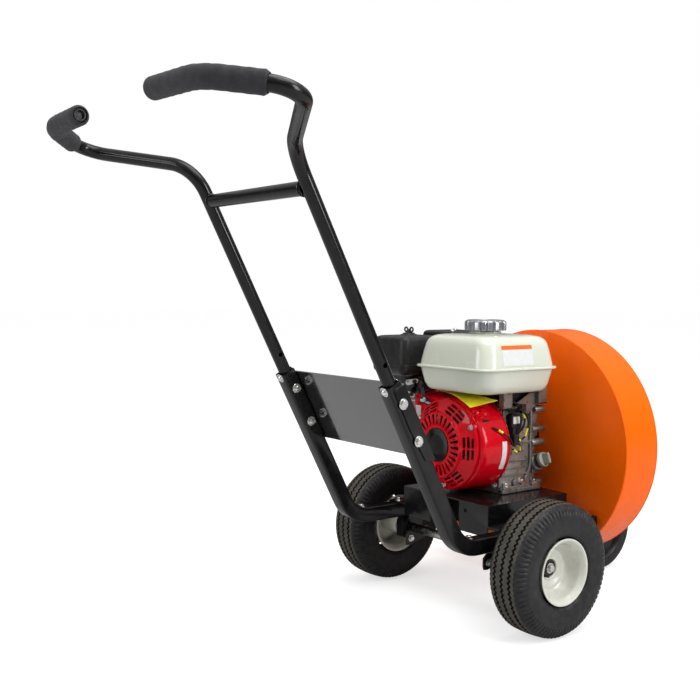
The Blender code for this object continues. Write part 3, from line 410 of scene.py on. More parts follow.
def boxes(name, finish, places, bevel, segments, nodes=()):
    """A fixed piece made of boxes with eased edges, from their centres and sizes."""
    bm = bmesh.new()
    for centre, size in places:
        add_box(bm, centre, size)
    publish(name, bm, finish, "chassis", 30, bevel, segments, nodes=nodes)


def add_bolt(bm, where, axis, radius=0.006, head=0.0045, washer=0.0012, domed=False):
    """A washer with a hex head, or a domed flange head, standing on a face."""
    axis = Vector(axis).normalized()
    add_turned(bm, [(0, washer), (radius * 1.35, washer), (radius * 1.45, washer * 0.5), (radius * 1.45, 0),
                    (0, 0)], where, axis, 24)
    if domed:
        add_turned(bm, [(0, washer + head), (radius * 0.45, washer + head * 0.93),
                        (radius * 0.8, washer + head * 0.62), (radius, washer + head * 0.2),
                        (radius * 1.02, washer)], where, axis, 24)
        return
    base = Vector(where) + axis * washer
    add_cylinder(bm, base, base + axis * head * 0.85, radius, radius, 6)
    add_cylinder(bm, base + axis * head * 0.85, base + axis * head, radius * 0.92, radius * 0.8, 24)


def bolts(name, places, **sizes):
    bm = bmesh.new()
    for where, axis in places:
        add_bolt(bm, where, axis, **sizes)
    publish(name, bm, ZINC, "chassis", 30)


def patch(name, corners, finish, lift):
    """A thin sticker on a flat place, from its four corners."""
    normal = (corners[1] - corners[0]).cross(corners[3] - corners[0]).normalized()
    bm = bmesh.new()
    add_loft(bm, [[corner + normal * (lift * share) for corner in corners] for share in (0.2, 1.0)])
    publish(name, bm, finish, "chassis")


# Camera, floor and lights ----------------------------------------------------------------------

def camera():
    data = bpy.data.cameras.new("camera")
    data.sensor_width = 36.0
    data.lens = 50.31
    data.clip_start = 0.05
    obj = bpy.data.objects.new("camera", data)
    SCENE.collection.objects.link(obj)
    yaw, pitch, roll = -0.924, -0.0583, 0.0092
    ahead = Vector((math.sin(yaw) * math.cos(pitch), math.cos(yaw) * math.cos(pitch), math.sin(pitch)))
    right = ahead.cross(Vector((0, 0, 1))).normalized()
    up = right.cross(ahead)
    tilted_right = right * math.cos(roll) + up * math.sin(roll)
    tilted_up = up * math.cos(roll) - right * math.sin(roll)
    matrix = Matrix((tilted_right, tilted_up, -ahead)).transposed().to_4x4()
    matrix.translation = at(1.5046, -1.4379, 0.6598)
    obj.matrix_world = matrix
    SCENE.camera = obj


def area_light(name, where, target, size, power):
    data = bpy.data.lights.new(name, "AREA")
    data.shape = "RECTANGLE"
    data.size, data.size_y = size
    data.energy = power
    obj = bpy.data.objects.new(name, data)
    SCENE.collection.objects.link(obj)
    obj.location = where
    obj.rotation_euler = (Vector(where) - Vector(target)).to_track_quat("Z", "Y").to_euler()


def floor():
    """White paper, which glows towards the camera only, so that its far edge fades into the sky."""
    half_size, glow = 30.0, 0.62
    bm = bmesh.new()
    bmesh.ops.create_grid(bm, x_segments=2, y_segments=2, size=half_size)
    mesh = bpy.data.meshes.new("floor")
    bm.to_mesh(mesh)
    bm.free()
    sheet = bpy.data.objects.new("floor", mesh)
    SCENE.collection.objects.link(sheet)
    sheet.location.z = -0.0005
    paper = surface("studio_floor", (0.6, 0.6, 0.6), 0.8, mottle=0.006, mottle_scale=2.0, specular=0.1)
    mesh.materials.append(paper)
    nodes, links = paper.node_tree.nodes, paper.node_tree.links
    rays = nodes.new("ShaderNodeLightPath")
    scaled = nodes.new("ShaderNodeMath")
    scaled.operation = "MULTIPLY"
    scaled.inputs[1].default_value = glow
    links.new(rays.outputs["Is Camera Ray"], scaled.inputs[0])
    links.new(scaled.outputs["Value"], nodes["Principled BSDF"].inputs["Emission Strength"])


def sky():
    """White to the camera; for lighting, dim at the horizon and bright overhead."""
    world = bpy.data.worlds.new("studio")
    SCENE.world = world
    world.use_nodes = True
    nodes, links = world.node_tree.nodes, world.node_tree.links
    rays = nodes.new("ShaderNodeLightPath")
    place = nodes.new("ShaderNodeTexCoord")
    split = nodes.new("ShaderNodeSeparateXYZ")
    links.new(place.outputs["Generated"], split.inputs["Vector"])
    fade = nodes.new("ShaderNodeMapRange")
    fade.interpolation_type = "SMOOTHSTEP"
    for name, value in (("From Min", 0.05), ("From Max", 0.85), ("To Min", 0.12), ("To Max", 0.78)):
        fade.inputs[name].default_value = value
    links.new(split.outputs["Z"], fade.inputs["Value"])
    power = nodes.new("ShaderNodeMix")
    power.inputs["B"].default_value = 1.0
    links.new(rays.outputs["Is Camera Ray"], power.inputs["Factor"])
    links.new(fade.outputs["Result"], power.inputs["A"])
    nodes["Background"].inputs["Color"].default_value = (1.0, 1.0, 1.0, 1.0)
    links.new(power.outputs["Result"], nodes["Background"].inputs["Strength"])


def studio():
    SCENE.view_settings.view_transform = "Standard"
    floor()
    sky()
    area_light("top", (0.7, 0.1, 3.0), (0, 0, 0.4), (2.2, 2.2), 52)
    area_light("side", (3.0, 1.3, 1.7), (0, 0.2, 0.4), (1.0, 2.0), 66)
    area_light("rear", (-0.4, -3.2, 1.6), (0, -0.2, 0.5), (1.4, 1.8), 38)


# Wheels ----------------------------------------------------------------------------------------

TYRE_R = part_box("right_tyre")[1].z / 2
WHEEL_Z = AXLE.z


def tyre_lines():
    """Across the tyre from bead to bead: (radius, offset, share of the zigzag, kind)."""
    wall = ((0.0668, 0.035), (0.069, 0.0385), (0.0725, 0.0398), (0.0735, 0.0408), (0.076, 0.0412),
            (0.085, 0.0428), (0.096, 0.0438), (0.104, 0.0438), (0.1075, 0.0436))
    lugs = ((0.1082, 0.0436), (0.115, 0.042), (0.12, 0.0395), (0.1245, 0.036))
    outside = [(r, h, 0.0, "wall") for r, h in wall] + [(r, h, 0.0, "lug") for r, h in lugs]
    outside.append((0.1268, 0.0325, 0.15, "tread"))
    half_groove, slope, depth, rib = 0.0021, 0.0008, 0.0032, 0.006
    reach = half_groove + slope
    shoulder, curve = 0.028, 2.2

    def crown(h):
        return TYRE_R - curve * h * h

    def on_crown(h, zigzag=1.0):
        return crown(h), h, zigzag, "tread"

    middle_part = [on_crown(shoulder, 0.6)]
    for groove in (0.0185, 0.0, -0.0185):
        bottom = crown(groove) - depth
        if groove <= 0:
            middle_part.append(on_crown(groove + reach + rib))
        middle_part += [on_crown(groove + reach), (bottom, groove + half_groove, 1.0, "groove"),
                        (bottom, groove - half_groove, 1.0, "groove"), on_crown(groove - reach)]
        if groove >= 0:
            middle_part.append(on_crown(groove - reach - rib))
    middle_part.append(on_crown(-shoulder, 0.6))
    return outside + middle_part + [(r, -h, z, kind) for r, h, z, kind in reversed(outside)]


def tyre(side, word):
    """Ribbed tyre: three zigzag grooves, notched shoulders and plain walls."""
    steps, period = 320, 4
    zigzag_reach, notch_depth, flat_half = 0.0024, 0.0036, 0.03
    centre = Vector((side * WHEEL_X, AXLE.y, WHEEL_Z))
    lines = tyre_lines()
    bm = bmesh.new()

    def spot(i, radius, offset):
        a = math.tau * i / steps
        return bm.verts.new(centre + Vector((side * offset, radius * math.cos(a), radius * math.sin(a))))

    rings = []
    for radius, offset, zigzag, kind in lines:
        level = []
        first_notch = 0 if offset > 0 else period // 2
        for i in range(steps):
            shift = (4 * abs((i % period) / period - 0.5) - 1) * zigzag_reach * zigzag
            notched = kind == "lug" and (i + first_notch) % period == 0
            level.append(spot(i, radius - notch_depth * notched, offset + shift))
        rings.append(level)
    for one, two, left, right in zip(rings, rings[1:], lines, lines[1:]):
        kinds = {left[3], right[3]}
        on_top = kinds == {"tread"} and max(abs(left[1]), abs(right[1])) < flat_half
        # Faces in a groove take the darker finish, which paints shade into the grooves.
        for face in bridge(bm, one, two):
            face.material_index = 2 if "groove" in kinds else int(on_top)
    hollow = ((0.0668, -0.03), (0.09, -0.034), (0.09, 0.034), (0.0668, 0.03))
    inside = [[spot(i, radius, offset) for i in range(steps)] for radius, offset in hollow]
    bridge_all(bm, [rings[-1]] + inside + [rings[0]])
    publish(f"{word}_tyre_tread", bm, (SIDEWALL, TREAD, GROOVE_SHADE), f"{word}_wheel", 32,
            nodes=(f"{word}_tyre",))


def rim(side, word):
    """Pressed steel rim with a recessed disc, a hub tube, a bearing and a valve."""
    centre = Vector((side * WHEEL_X, AXLE.y, WHEEL_Z))
    out, body = (side, 0, 0), f"{word}_wheel"
    face = [(0.064, 0.0395), (0.0652, 0.0405), (0.0648, 0.042), (0.0628, 0.0424), (0.0606, 0.0412),
            (0.0578, 0.037), (0.0552, 0.0335), (0.0537, 0.03), (0.053, 0.024), (0.052, 0.0185),
            (0.049, 0.013), (0.0455, 0.0086), (0.0425, 0.0052), (0.04, 0.0048), (0.037, 0.0062),
            (0.0345, 0.007), (0.032, 0.0062), (0.029, 0.004), (0.025, 0.003), (0.0228, 0.0022),
            (0.022, 0.004), (0.0205, 0.0046), (0.019, 0.0042), (0.0172, 0.002)]
    back = [(0.0172, -0.055), (0.022, -0.055), (0.0225, -0.001), (0.036, 0.0018), (0.0495, 0.01),
            (0.053, 0.012), (0.0535, -0.03), (0.0552, -0.0335), (0.0578, -0.037), (0.0606, -0.0412),
            (0.0628, -0.0424), (0.0648, -0.042), (0.0652, -0.0405), (0.064, -0.0395), (0.0615, -0.0375),
            (0.059, -0.033), (0.056, -0.028), (0.0556, 0.0), (0.056, 0.028), (0.059, 0.033),
            (0.0615, 0.0375)]
    turned(f"{word}_rim_disc", RIM_PAINT, face + back, centre, out, body, 96, True, nodes=(f"{word}_rim",))
    bore = 0.01
    sleeve = [(bore, 0.002), (0.012, 0.003), (0.015, 0.003), (0.0166, 0.0018), (0.0166, -0.056),
              (0.019, -0.056), (0.019, -0.0572), (bore, -0.0572)]
    turned(f"{word}_hub_sleeve", BLACK_RUBBER, sleeve, centre, out, body, 48, True,
           nodes=(f"{word}_hub_bearing",))

    bm = bmesh.new()
    root = centre + Vector((side * 0.018, -0.0515, 0.0))
    tip = centre + Vector((side * 0.04, -0.044, 0.0))
    add_cylinder(bm, root, root.lerp(tip, 0.55), 0.0048, 0.0034, 20)
    add_cylinder(bm, root.lerp(tip, 0.5), tip, 0.003, 0.003, 20)
    publish(f"{word}_valve", bm, BLACK_RUBBER, body)


def axle_ends():
    bm = bmesh.new()
    for side, word in SIDES:
        low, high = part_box(f"{word}_axle_nut")
        where = Vector((low.x if side > 0 else high.x, AXLE.y, AXLE.z))
        add_bolt(bm, where, (side, 0, 0), 0.0072, 0.0048, 0.0014)
    publish("axle_end_bolts", bm, BARE_STEEL, "chassis", 30, nodes=("left_axle_nut", "right_axle_nut"))


# Frame -----------------------------------------------------------------------------------------

TUBE_HALF = (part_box("right_lower_tube")[1].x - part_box("right_lower_tube")[0].x) / 2
TUBE_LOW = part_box("right_lower_tube")[0].z + TUBE_HALF
TUBE_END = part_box("right_lower_tube")[1].y
FIRST_BOLT = middle("handle_bolt_right_lower")
BOLT_STEP = -JOINT["handle_height"]["range_m"][0]
TUBE_TOP = 0.118
TUBE_BEND = 0.07
HANDLE_R = 0.0127
HANDLE_WALL = 0.0018
PLATE_GAP = 0.0033


def on_tube(side, t, forward=0.0, out=0.0):
    """A place t metres up a sloping tube from its lower bolt."""
    base = Vector((side * (TUBE_X + out), FIRST_BOLT.y, FIRST_BOLT.z))
    return base + UP_TUBE * t + OFF_TUBE * forward


def tube_corner(side):
    """Where the sloping and the level stretch of a square tube would meet."""
    return on_tube(side, (TUBE_LOW - FIRST_BOLT.z) / UP_TUBE.z)


def lower_tubes():
    """Rounded square tube, down the slope, round the bend and forward under the deck."""
    for side, word in SIDES:
        corner = tube_corner(side)
        end = Vector((corner.x, TUBE_END, TUBE_LOW))
        path = bent([on_tube(side, TUBE_TOP), corner, end], (TUBE_BEND,), 16)
        bm = bmesh.new()
        wall = 0.0019
        add_sweep(bm, path, round_box(TUBE_HALF, TUBE_HALF, 0.0042, 4),
                  round_box(TUBE_HALF - wall, TUBE_HALF - wall, 0.0026, 4))
        publish(f"{word}_square_tube", bm, BLACK, "chassis", 25, nodes=(f"{word}_lower_tube",))


def handle_route(side):
    """The bent tube's centre line, from inside the square tube to the end of the grip."""
    foot = on_tube(side, -0.03)
    corners = [foot, at(side * TUBE_X, -0.549, 0.895), at(side * 0.3957, -0.676, 0.9375),
               at(side * 0.281, -0.779, 0.959), at(side * 0.143, -0.783, 0.962)]
    return bent(corners, (0.078, 0.043, 0.09), 14)


def beyond(route, start):
    """The part of a route past a length along it."""
    run = 0.0
    for i, (a, b) in enumerate(zip(route, route[1:])):
        step = (b - a).length
        if run + step > start:
            return [a.lerp(b, (start - run) / step)] + route[i + 1:]
        run += step
    return route[-1:]


def length_of(route):
    return sum((b - a).length for a, b in zip(route, route[1:]))


def handle():
    """Both bent tubes, each with three round holes, a foam grip and an end plug."""
    grip_length, end_cap, hole_count = 0.236, 0.003, 3
    for side, word in SIDES:
        route = handle_route(side)
        bm = bmesh.new()
        add_sweep(bm, route, ring(HANDLE_R, 32), ring(HANDLE_R - HANDLE_WALL, 32))
        tube = publish(f"{word}_handle_bend", bm, BLACK, "handle", 35, nodes=(f"{word}_handle_tube",))
        holes = bmesh.new()
        through = Vector((0.03, 0, 0))
        for k in range(hole_count):
            place = on_tube(side, k * BOLT_STEP)
            add_cylinder(holes, place - through, place + through, 0.0046, steps=24)
        carve(tube, holes)

        cover = beyond(route, length_of(route) - grip_length)
        cover[-1] = cover[-1] + Vector((-side * end_cap, 0, 0))
        bm = bmesh.new()
        foam_grip(bm, cover)
        grip = publish(f"{word}_foam_sleeve", bm, FOAM, "handle", 50, nodes=(f"{word}_grip",))
        plug = [(0, -0.004), (0.007, -0.004), (0.0085, 0.0012), (0.0104, 0.0012), (0.0106, -0.01),
                (0, -0.01)]
        turned(f"{word}_end_plug", BLACK_PLASTIC, plug, route[-1], route[-1] - route[-2], "handle", 32)


def crossbar():
    """The tube between the two handle tubes, welded on."""
    low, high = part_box("handle_crossbar")
    y, z = (low.y + high.y) / 2, (low.z + high.z) / 2
    overlap, weld_gap = 0.006, 0.0005
    bm = bmesh.new()
    add_sweep(bm, [(low.x - overlap, y, z), (high.x + overlap, y, z)], ring(HANDLE_R, 32),
              ring(HANDLE_R - HANDLE_WALL, 32))
    for side in (-1, 1):
        weld_ring(bm, Vector((side * (TUBE_X - HANDLE_R - weld_gap), y, z)), (side, 0, 0), HANDLE_R)
    publish("crossbar_tube", bm, BLACK, "handle", 40, nodes=("handle_crossbar",))


def foam_grip(bm, route):
    """Foam sleeve with rounded ends and a slightly uneven skin."""
    total, last = length_of(route), 40
    fine = [beyond(route, total * i / last)[0] for i in range(last)] + [route[-1]]
    radius, bore, steps, roll = 0.018, 0.0137, 32, 0.0035
    rings, inner = [], []
    ahead = (fine[1] - fine[0]).normalized()
    side = ahead.cross(Vector((0, 0, 1))).normalized()
    for i, place in enumerate(fine):
        now = (fine[min(i + 1, last)] - fine[max(i - 1, 0)]).normalized()
        side = ahead.rotation_difference(now) @ side
        ahead = now
        up = side.cross(now)
        close = min(min(i, last - i) * total / last, roll)
        swell = radius - (roll - math.sqrt(roll ** 2 - (roll - close) ** 2))
        wave = 0.00025 * math.sin(i * 1.7) + 0.00015 * math.sin(i * 3.1)
        for size, store in ((swell + wave, rings), (bore, inner)):
            store.append([place + side * u + up * v for u, v in ring(size, steps)])
    add_hoop(bm, rings + inner[::-1])


def weld_ring(bm, where, axis, radius):
    """A bead of weld round a tube's end."""
    size, steps, around, ripples = 0.0022, 48, 8, 14
    matrix = frame_at(where, axis)
    rings = []
    for i in range(steps):
        a = math.tau * i / steps
        bead = size * (1 + 0.1 * math.sin(ripples * a))
        out = Vector((math.cos(a), math.sin(a), 0))
        rings.append([matrix @ (out * (radius + u) + Vector((0, 0, v))) for u, v in ring(bead, around)])
    add_hoop(bm, rings)


def frame_parts():
    """The plate, the deck and the axle with its hangers."""
    plate = soften("handle_plate", (BLACK, PLATE_BLACK), "chassis", 0.0009, 2)
    for face in plate.data.polygons:
        face.material_index = int(abs(face.normal.x) < 0.5)
    soften("engine_deck", BLACK, "chassis", 0.0009, 2)
    for _, word in SIDES:
        soften(f"{word}_axle_hanger", BLACK, "chassis", 0.0012, 2)
    frame["nodes"]["axle"].data.materials.clear()
    frame["nodes"]["axle"].data.materials.append(BARE_STEEL)


def frame_bolts():
    """Side bolts through plate and tube, clamp screws, and the bolts that hold the deck."""
    bm = bmesh.new()
    side_bolts = []
    for side, word in SIDES:
        for level in ("lower", "upper"):
            node = f"handle_bolt_{word}_{level}"
            low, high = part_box(node)
            place = middle(node)
            face = Vector((side * (TUBE_X + TUBE_HALF + PLATE_GAP), place.y, place.z))
            add_bolt(bm, face, (side, 0, 0), 0.007, 0.0036, 0.0012)
            back = Vector((side * (TUBE_X - TUBE_HALF - 0.0003), place.y, place.z))
            add_bolt(bm, back, (-side, 0, 0), 0.0068, 0.0062, 0.0014)
            inner = Vector((low.x if side > 0 else high.x, place.y, place.z))
            add_cylinder(bm, face, inner, 0.004, steps=20)
            side_bolts.append(node)
    publish("handle_side_bolts", bm, ZINC, "chassis", 30, nodes=tuple(side_bolts))

    clamps = [(on_tube(side, 0.111, face * TUBE_HALF), OFF_TUBE * face)
              for side in (-1, 1) for face in (-1, 1)]
    bolts("clamp_screws", clamps, radius=0.0066, head=0.0048, washer=0.0008, domed=True)

    deck_low, deck_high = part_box("engine_deck")
    tube_top = TUBE_LOW + TUBE_HALF
    inset = 0.018
    seats = []
    for side in (-1, 1):
        for y in (deck_low.y + inset, (deck_low.y + deck_high.y) / 2 + 0.02, deck_high.y - inset):
            seats.append((Vector((side * TUBE_X, y, tube_top + PLATE_GAP)), (0, 0, 1)))
        seats.append((Vector((side * TUBE_X, TUBE_END - 0.012, tube_top)), (0, 0, 1)))
    bolts("deck_bolts", seats, radius=0.0065, head=0.005, washer=0.0014)


# Fan housing -----------------------------------------------------------------------------------

DRUM_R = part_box("housing_cover")[1].x
DRUM_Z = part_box("housing_cover")[0].z + DRUM_R
DRUM_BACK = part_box("fan_housing")[0].y
DRUM_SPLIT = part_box("fan_housing")[1].y
DUCT_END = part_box("fan_housing")[0].x
DUCT_TOP = 0.24
SHEET = 0.0025
INTAKE_R = 0.1
SHAFT_HOLE_R = 0.035
GUARD = middle("intake_guard")


def rear_plane(y):
    """Outlines drawn as seen from behind, across and up, at a world Y."""
    return Matrix(((1, 0, 0, 0), (0, 0, -1, y), (0, 1, 0, 0), (0, 0, 0, 1)))


def side_plane(x):
    """Outlines drawn forward and up, at a distance from the centre plane."""
    return Matrix(((0, 0, 1, x), (1, 0, 0, 0), (0, 1, 0, 0), (0, 0, 0, 1)))


def scroll(radius, steps=150):
    """Seen from behind: along the duct's floor, round the drum and back along its roof."""
    inset = DRUM_R - radius
    last = math.pi + math.asin((DRUM_Z - DUCT_TOP + inset) / radius)
    first = -math.pi / 2
    points = [(DUCT_END, DRUM_Z - radius)]
    for i in range(steps + 1):
        a = first + (last - first) * i / steps
        points.append((radius * math.cos(a), DRUM_Z + radius * math.sin(a)))
    return points + [(DUCT_END, DUCT_TOP - inset)]


def drill(obj, centre, axis, radius, steps):
    """Cut a round hole through a sheet."""
    hole = bmesh.new()
    reach = Vector(axis) * 0.01
    add_cylinder(hole, centre - reach, centre + reach, radius, steps=steps)
    carve(obj, hole)


def housing():
    """Rolled band on a flat disc, closed in front by a disc with the intake."""
    bm = bmesh.new()
    add_prism(bm, scroll(DRUM_R), rear_plane(DRUM_BACK + SHEET / 2), SHEET)
    disc = publish("housing_disc", bm, ORANGE, "chassis", 30, 0.0007, 2, nodes=("fan_housing",))
    drill(disc, CRANK + Vector((0, DRUM_BACK, 0)), (0, 1, 0), SHAFT_HOLE_R, 64)

    bm = bmesh.new()
    back = DRUM_BACK + SHEET
    rings = []
    for (ox, oz), (ix, iz) in zip(scroll(DRUM_R), scroll(DRUM_R - SHEET)):
        rings.append([Vector((ox, back, oz)), Vector((ox, DRUM_SPLIT, oz)), Vector((ix, DRUM_SPLIT, iz)),
                      Vector((ix, back, iz))])
    add_loft(bm, rings)
    publish("housing_band", bm, ORANGE, "chassis", 30)

    bm = bmesh.new()
    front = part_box("housing_cover")[1].y
    add_prism(bm, scroll(DRUM_R), rear_plane((DRUM_SPLIT + front) / 2), front - DRUM_SPLIT - 0.0003)
    cover = publish("housing_front_disc", bm, ORANGE, "chassis", 30, 0.0006, 2, nodes=("housing_cover",))
    drill(cover, Vector((GUARD.x, front, GUARD.z)), (0, 1, 0), INTAKE_R, 96)

    seam = bmesh.new()
    bead = 0.0013
    for y in (back, DRUM_SPLIT):
        path = [Vector((x, y, z)) for x, z in scroll(DRUM_R - 0.0004, 90)]
        add_sweep(seam, path, ring(bead, 8))
    publish("housing_seams", seam, ORANGE, "chassis", 50)


def guard():
    """Grille over the intake: a flat band, two rings and four crossing bars."""
    low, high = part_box("intake_guard")
    outer = (high.x - low.x) / 2
    base = Vector((GUARD.x, low.y, GUARD.z))
    rise = high.y - low.y
    bm = bmesh.new()
    add_turned(bm, [(outer, 0.0004), (outer, rise * 0.6), (outer - 0.0015, rise * 0.8),
                    (INTAKE_R - 0.004, rise * 0.8), (INTAKE_R - 0.004, 0.0004)], base, (0, 1, 0), 96, True)
    rod = 0.0018
    for radius in (0.066, 0.034):
        add_turned(bm, [(radius + u, rise / 2 + v) for u, v in ring(rod, 10)], base, (0, 1, 0), 72, True)
    for i in range(4):
        a = math.radians(45 * i)
        reach = Vector((math.cos(a), 0, math.sin(a))) * (INTAKE_R - 0.001)
        centre = base + Vector((0, rise / 2, 0))
        add_cylinder(bm, centre - reach, centre + reach, rod, steps=12)
    publish("intake_grille", bm, BLACK, "chassis", 35, nodes=("intake_guard",))
    places = []
    for i in range(4):
        a = math.radians(45 + 90 * i)
        radius = INTAKE_R + 0.004
        places.append((base + Vector((radius * math.cos(a), rise * 0.8, radius * math.sin(a))), (0, 1, 0)))
    bolts("grille_screws", places, radius=0.0042, head=0.003, washer=0.0008, domed=True)


# Caster ----------------------------------------------------------------------------------------

def caster():
    soften("caster_bracket", BLACK, "chassis", 0.001, 2)
    soften("caster_fork", ZINC, "caster_fork_body", 0.0008, 2)
    hub = middle("caster_tyre")
    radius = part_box("caster_tyre")[1].z - hub.z
    half, arc_steps, rise, core = 0.022, 14, 0.009, 0.0784
    crown = []
    for i in range(arc_steps + 1):
        a = math.pi / 2 * (1 - 2 * i / arc_steps)
        crown.append((radius - rise + rise * math.cos(a) ** 0.8, half * math.sin(a)))
    wall = [(core, half - 0.002), (radius - 0.012, half)]
    profile = wall + crown + [(r, -h) for r, h in reversed(wall)]
    turned("caster_tread", SIDEWALL, profile, hub, (1, 0, 0), "caster_wheel", 96, True,
           nodes=("caster_tyre",))
    side = [(0.078, 0.0195), (0.0745, 0.0203), (0.0725, 0.0185), (0.0705, 0.0065), (0.056, 0.0048),
            (0.03, 0.005), (0.0245, 0.0065), (0.0225, 0.0255), (0.021, 0.027), (0.0068, 0.027)]
    turned("caster_core", BLACK_PLASTIC, side + [(r, -h) for r, h in reversed(side)], hub, (1, 0, 0),
           "caster_wheel", 72, True, nodes=("caster_rim",))

    bm = bmesh.new()
    reach = Vector((0.0338, 0, 0))
    add_cylinder(bm, hub - reach, hub + reach, 0.005, steps=24)
    for end in (-1, 1):
        add_bolt(bm, hub + reach * end, (end, 0, 0), 0.007, 0.0052, 0.0014)
    publish("caster_bolt", bm, ZINC, "caster_fork_body", 30, nodes=("caster_axle_bolt",))

    bm = bmesh.new()
    pivot = Vector(JOINT["caster_swivel"]["pos_m"])
    add_bolt(bm, Vector((0, pivot.y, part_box("caster_fork")[1].z)), (0, 0, 1), 0.0105, 0.006, 0.0016)
    publish("caster_pivot_nut", bm, ZINC, "caster_fork_body", 30)
    low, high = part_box("caster_bracket")
    places = [(Vector((x, low.y + 0.005, z)), (0, 1, 0))
              for x in (-0.075, 0.075) for z in (0.15, high.z - 0.025)]
    bolts("bracket_bolts", places, radius=0.0062, head=0.005)


# Engine block ----------------------------------------------------------------------------------

CASE_SIDE = 0.056
CASE_BACK = 0.1503
CASE_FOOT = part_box("crankcase")[0].z


def crankcase():
    """The casting, its front cover and the shaft's bearing boss."""
    soften("crankcase", CASTING, "chassis", 0.0022, 3)
    places = []
    for left, right, front, bottom, top in ((-0.104, CASE_SIDE, 0.166, 0.25, 0.4),
                                            (-0.096, CASE_SIDE - 0.002, 0.176, 0.35, 0.424),
                                            (-0.106, CASE_SIDE + 0.003, 0.1745, 0.2364, 0.26)):
        places.append((at((left + right) / 2, (CASE_BACK + front) / 2, (bottom + top) / 2),
                       (right - left, front - CASE_BACK, top - bottom)))
    boxes("crankcase_cover_shape", CASTING, places, 0.004, 4, nodes=("crankcase_cover",))
    boss = [(0.019, 0.1865), (0.033, 0.1865), (0.035, 0.185), (0.037, 0.17), (0.056, 0.165),
            (0.019, 0.165)]
    turned("bearing_boss", CASTING, boss, at(CRANK.x, 0, CRANK.z), (0, 1, 0), closed=True, angle=30)


def crankcase_relief():
    """Ribs, the split flange and the bolt bosses on the side and the front."""
    face = CASE_SIDE + 0.001
    ribs = [(at(CASE_SIDE + 0.0022, (back + front) / 2, z), (0.0064, front - back, 0.004))
            for z, back, front in ((0.304, 0.062, 0.136), (0.289, 0.06, 0.138), (0.274, 0.058, 0.138))]
    ribs.append((at(face, 0.102, 0.418), (0.0046, 0.082, 0.006)))
    ribs.append((at(face, 0.066, 0.36), (0.0046, 0.009, 0.11)))
    ribs += [(at(face, 0.13, z), (0.005, 0.036, 0.005)) for z in (0.342, 0.375)]
    boxes("crankcase_ribs", CASTING, ribs, 0.0016, 3)
    bm = bmesh.new()
    edge = flowing([at(face, y, z) for y, z in ((0.146, 0.418), (0.148, 0.39), (0.147, 0.35),
                                                (0.148, 0.31), (0.145, 0.286), (0.136, 0.268))])
    add_sweep(bm, edge, round_box(0.0042, 0.0038, 0.003, 4))
    publish("split_flange", bm, CASTING, "chassis", 40)

    bm = bmesh.new()
    ahead, boss_x, low_boss_z = (0, 1, 0), CASE_SIDE + 0.0015, 0.25
    for z, rear, front, size in ((0.411, 0.156, 0.185, 0.0082), (0.368, 0.15, 0.1855, 0.0066),
                                 (0.339, 0.148, 0.1865, 0.008), (0.252, 0.156, 0.18, 0.007)):
        add_turned(bm, [(0, front), (size * 0.8, front), (size * 0.97, front - 0.0014),
                        (size, rear + 0.002), (size * 0.88, rear), (size * 0.42, rear),
                        (size * 0.4, rear + 0.006), (0, rear + 0.006)], at(boss_x, 0, z), ahead, 32)
        add_bolt(bm, at(boss_x, front, z), ahead, 0.0046, 0.004, 0.0008)
    for x in (-0.092, -0.05, 0.01):
        add_turned(bm, [(0, 0.18), (0.0076, 0.18), (0.009, 0.177), (0, 0.1735)], at(x, 0, low_boss_z),
                   ahead, 24)
        add_bolt(bm, at(x, 0.18, low_boss_z), ahead, 0.0046, 0.004, 0.0008)
    for y, z in ((0.101, 0.256), (0.136, 0.262), (0.082, 0.321), (0.124, 0.396)):
        add_turned(bm, [(0, 0.0058), (0.0062, 0.0058), (0.0076, 0.0046), (0.0092, -0.001), (0, -0.001)],
                   at(CASE_SIDE, y, z), (1, 0, 0), 28)
    publish("crankcase_bosses", bm, CASTING, "chassis", 32)


def crankcase_fittings():
    """The oil filler's neck, the feet with their bolts, the drain plug and the shaft seal."""
    bm = bmesh.new()
    add_turned(bm, [(0, 0.0085), (0.0175, 0.0085), (0.0205, 0.006), (0.0225, -0.006), (0, -0.006)],
               at(0.056, 0.17, 0.2945), (0.94, 0, 0.34), 40)
    add_box(bm, at(0.048, 0.168, 0.292), (0.024, 0.03, 0.042))
    publish("oil_neck", bm, CASTING, "chassis", 35, 0.0016, 3)
    foot_y, feet = (0.07, 0.158), []
    for x in (0.059, -0.101):
        feet.append((at(x, 0.114, CASE_FOOT + 0.005), (0.017, 0.118, 0.0095)))
        feet += [(at(x, y, CASE_FOOT + 0.0078), (0.018, 0.026, 0.015)) for y in foot_y]
    boxes("crankcase_feet", CASTING, feet, 0.0025, 3)
    places = [(at(x, y, CASE_FOOT + 0.0153), (0, 0, 1)) for x in (0.06, -0.101) for y in foot_y]
    bolts("foot_bolts", places, radius=0.0062, head=0.0058)
    bolts("drain_plug", [(at(CASE_SIDE + 0.0004, 0.122, 0.256), (1, 0, 0))], radius=0.0068, head=0.0056)
    seal = [(0.0245, 0.0002), (0.0245, 0.0028), (0.0225, 0.004), (0.014, 0.0034), (0.0102, 0.001),
            (0.0102, 0.0002)]
    turned("shaft_seal", BLACK_RUBBER, seal, at(CRANK.x, 0.1864, CRANK.z), (0, 1, 0), steps=48, closed=True,
           angle=30)


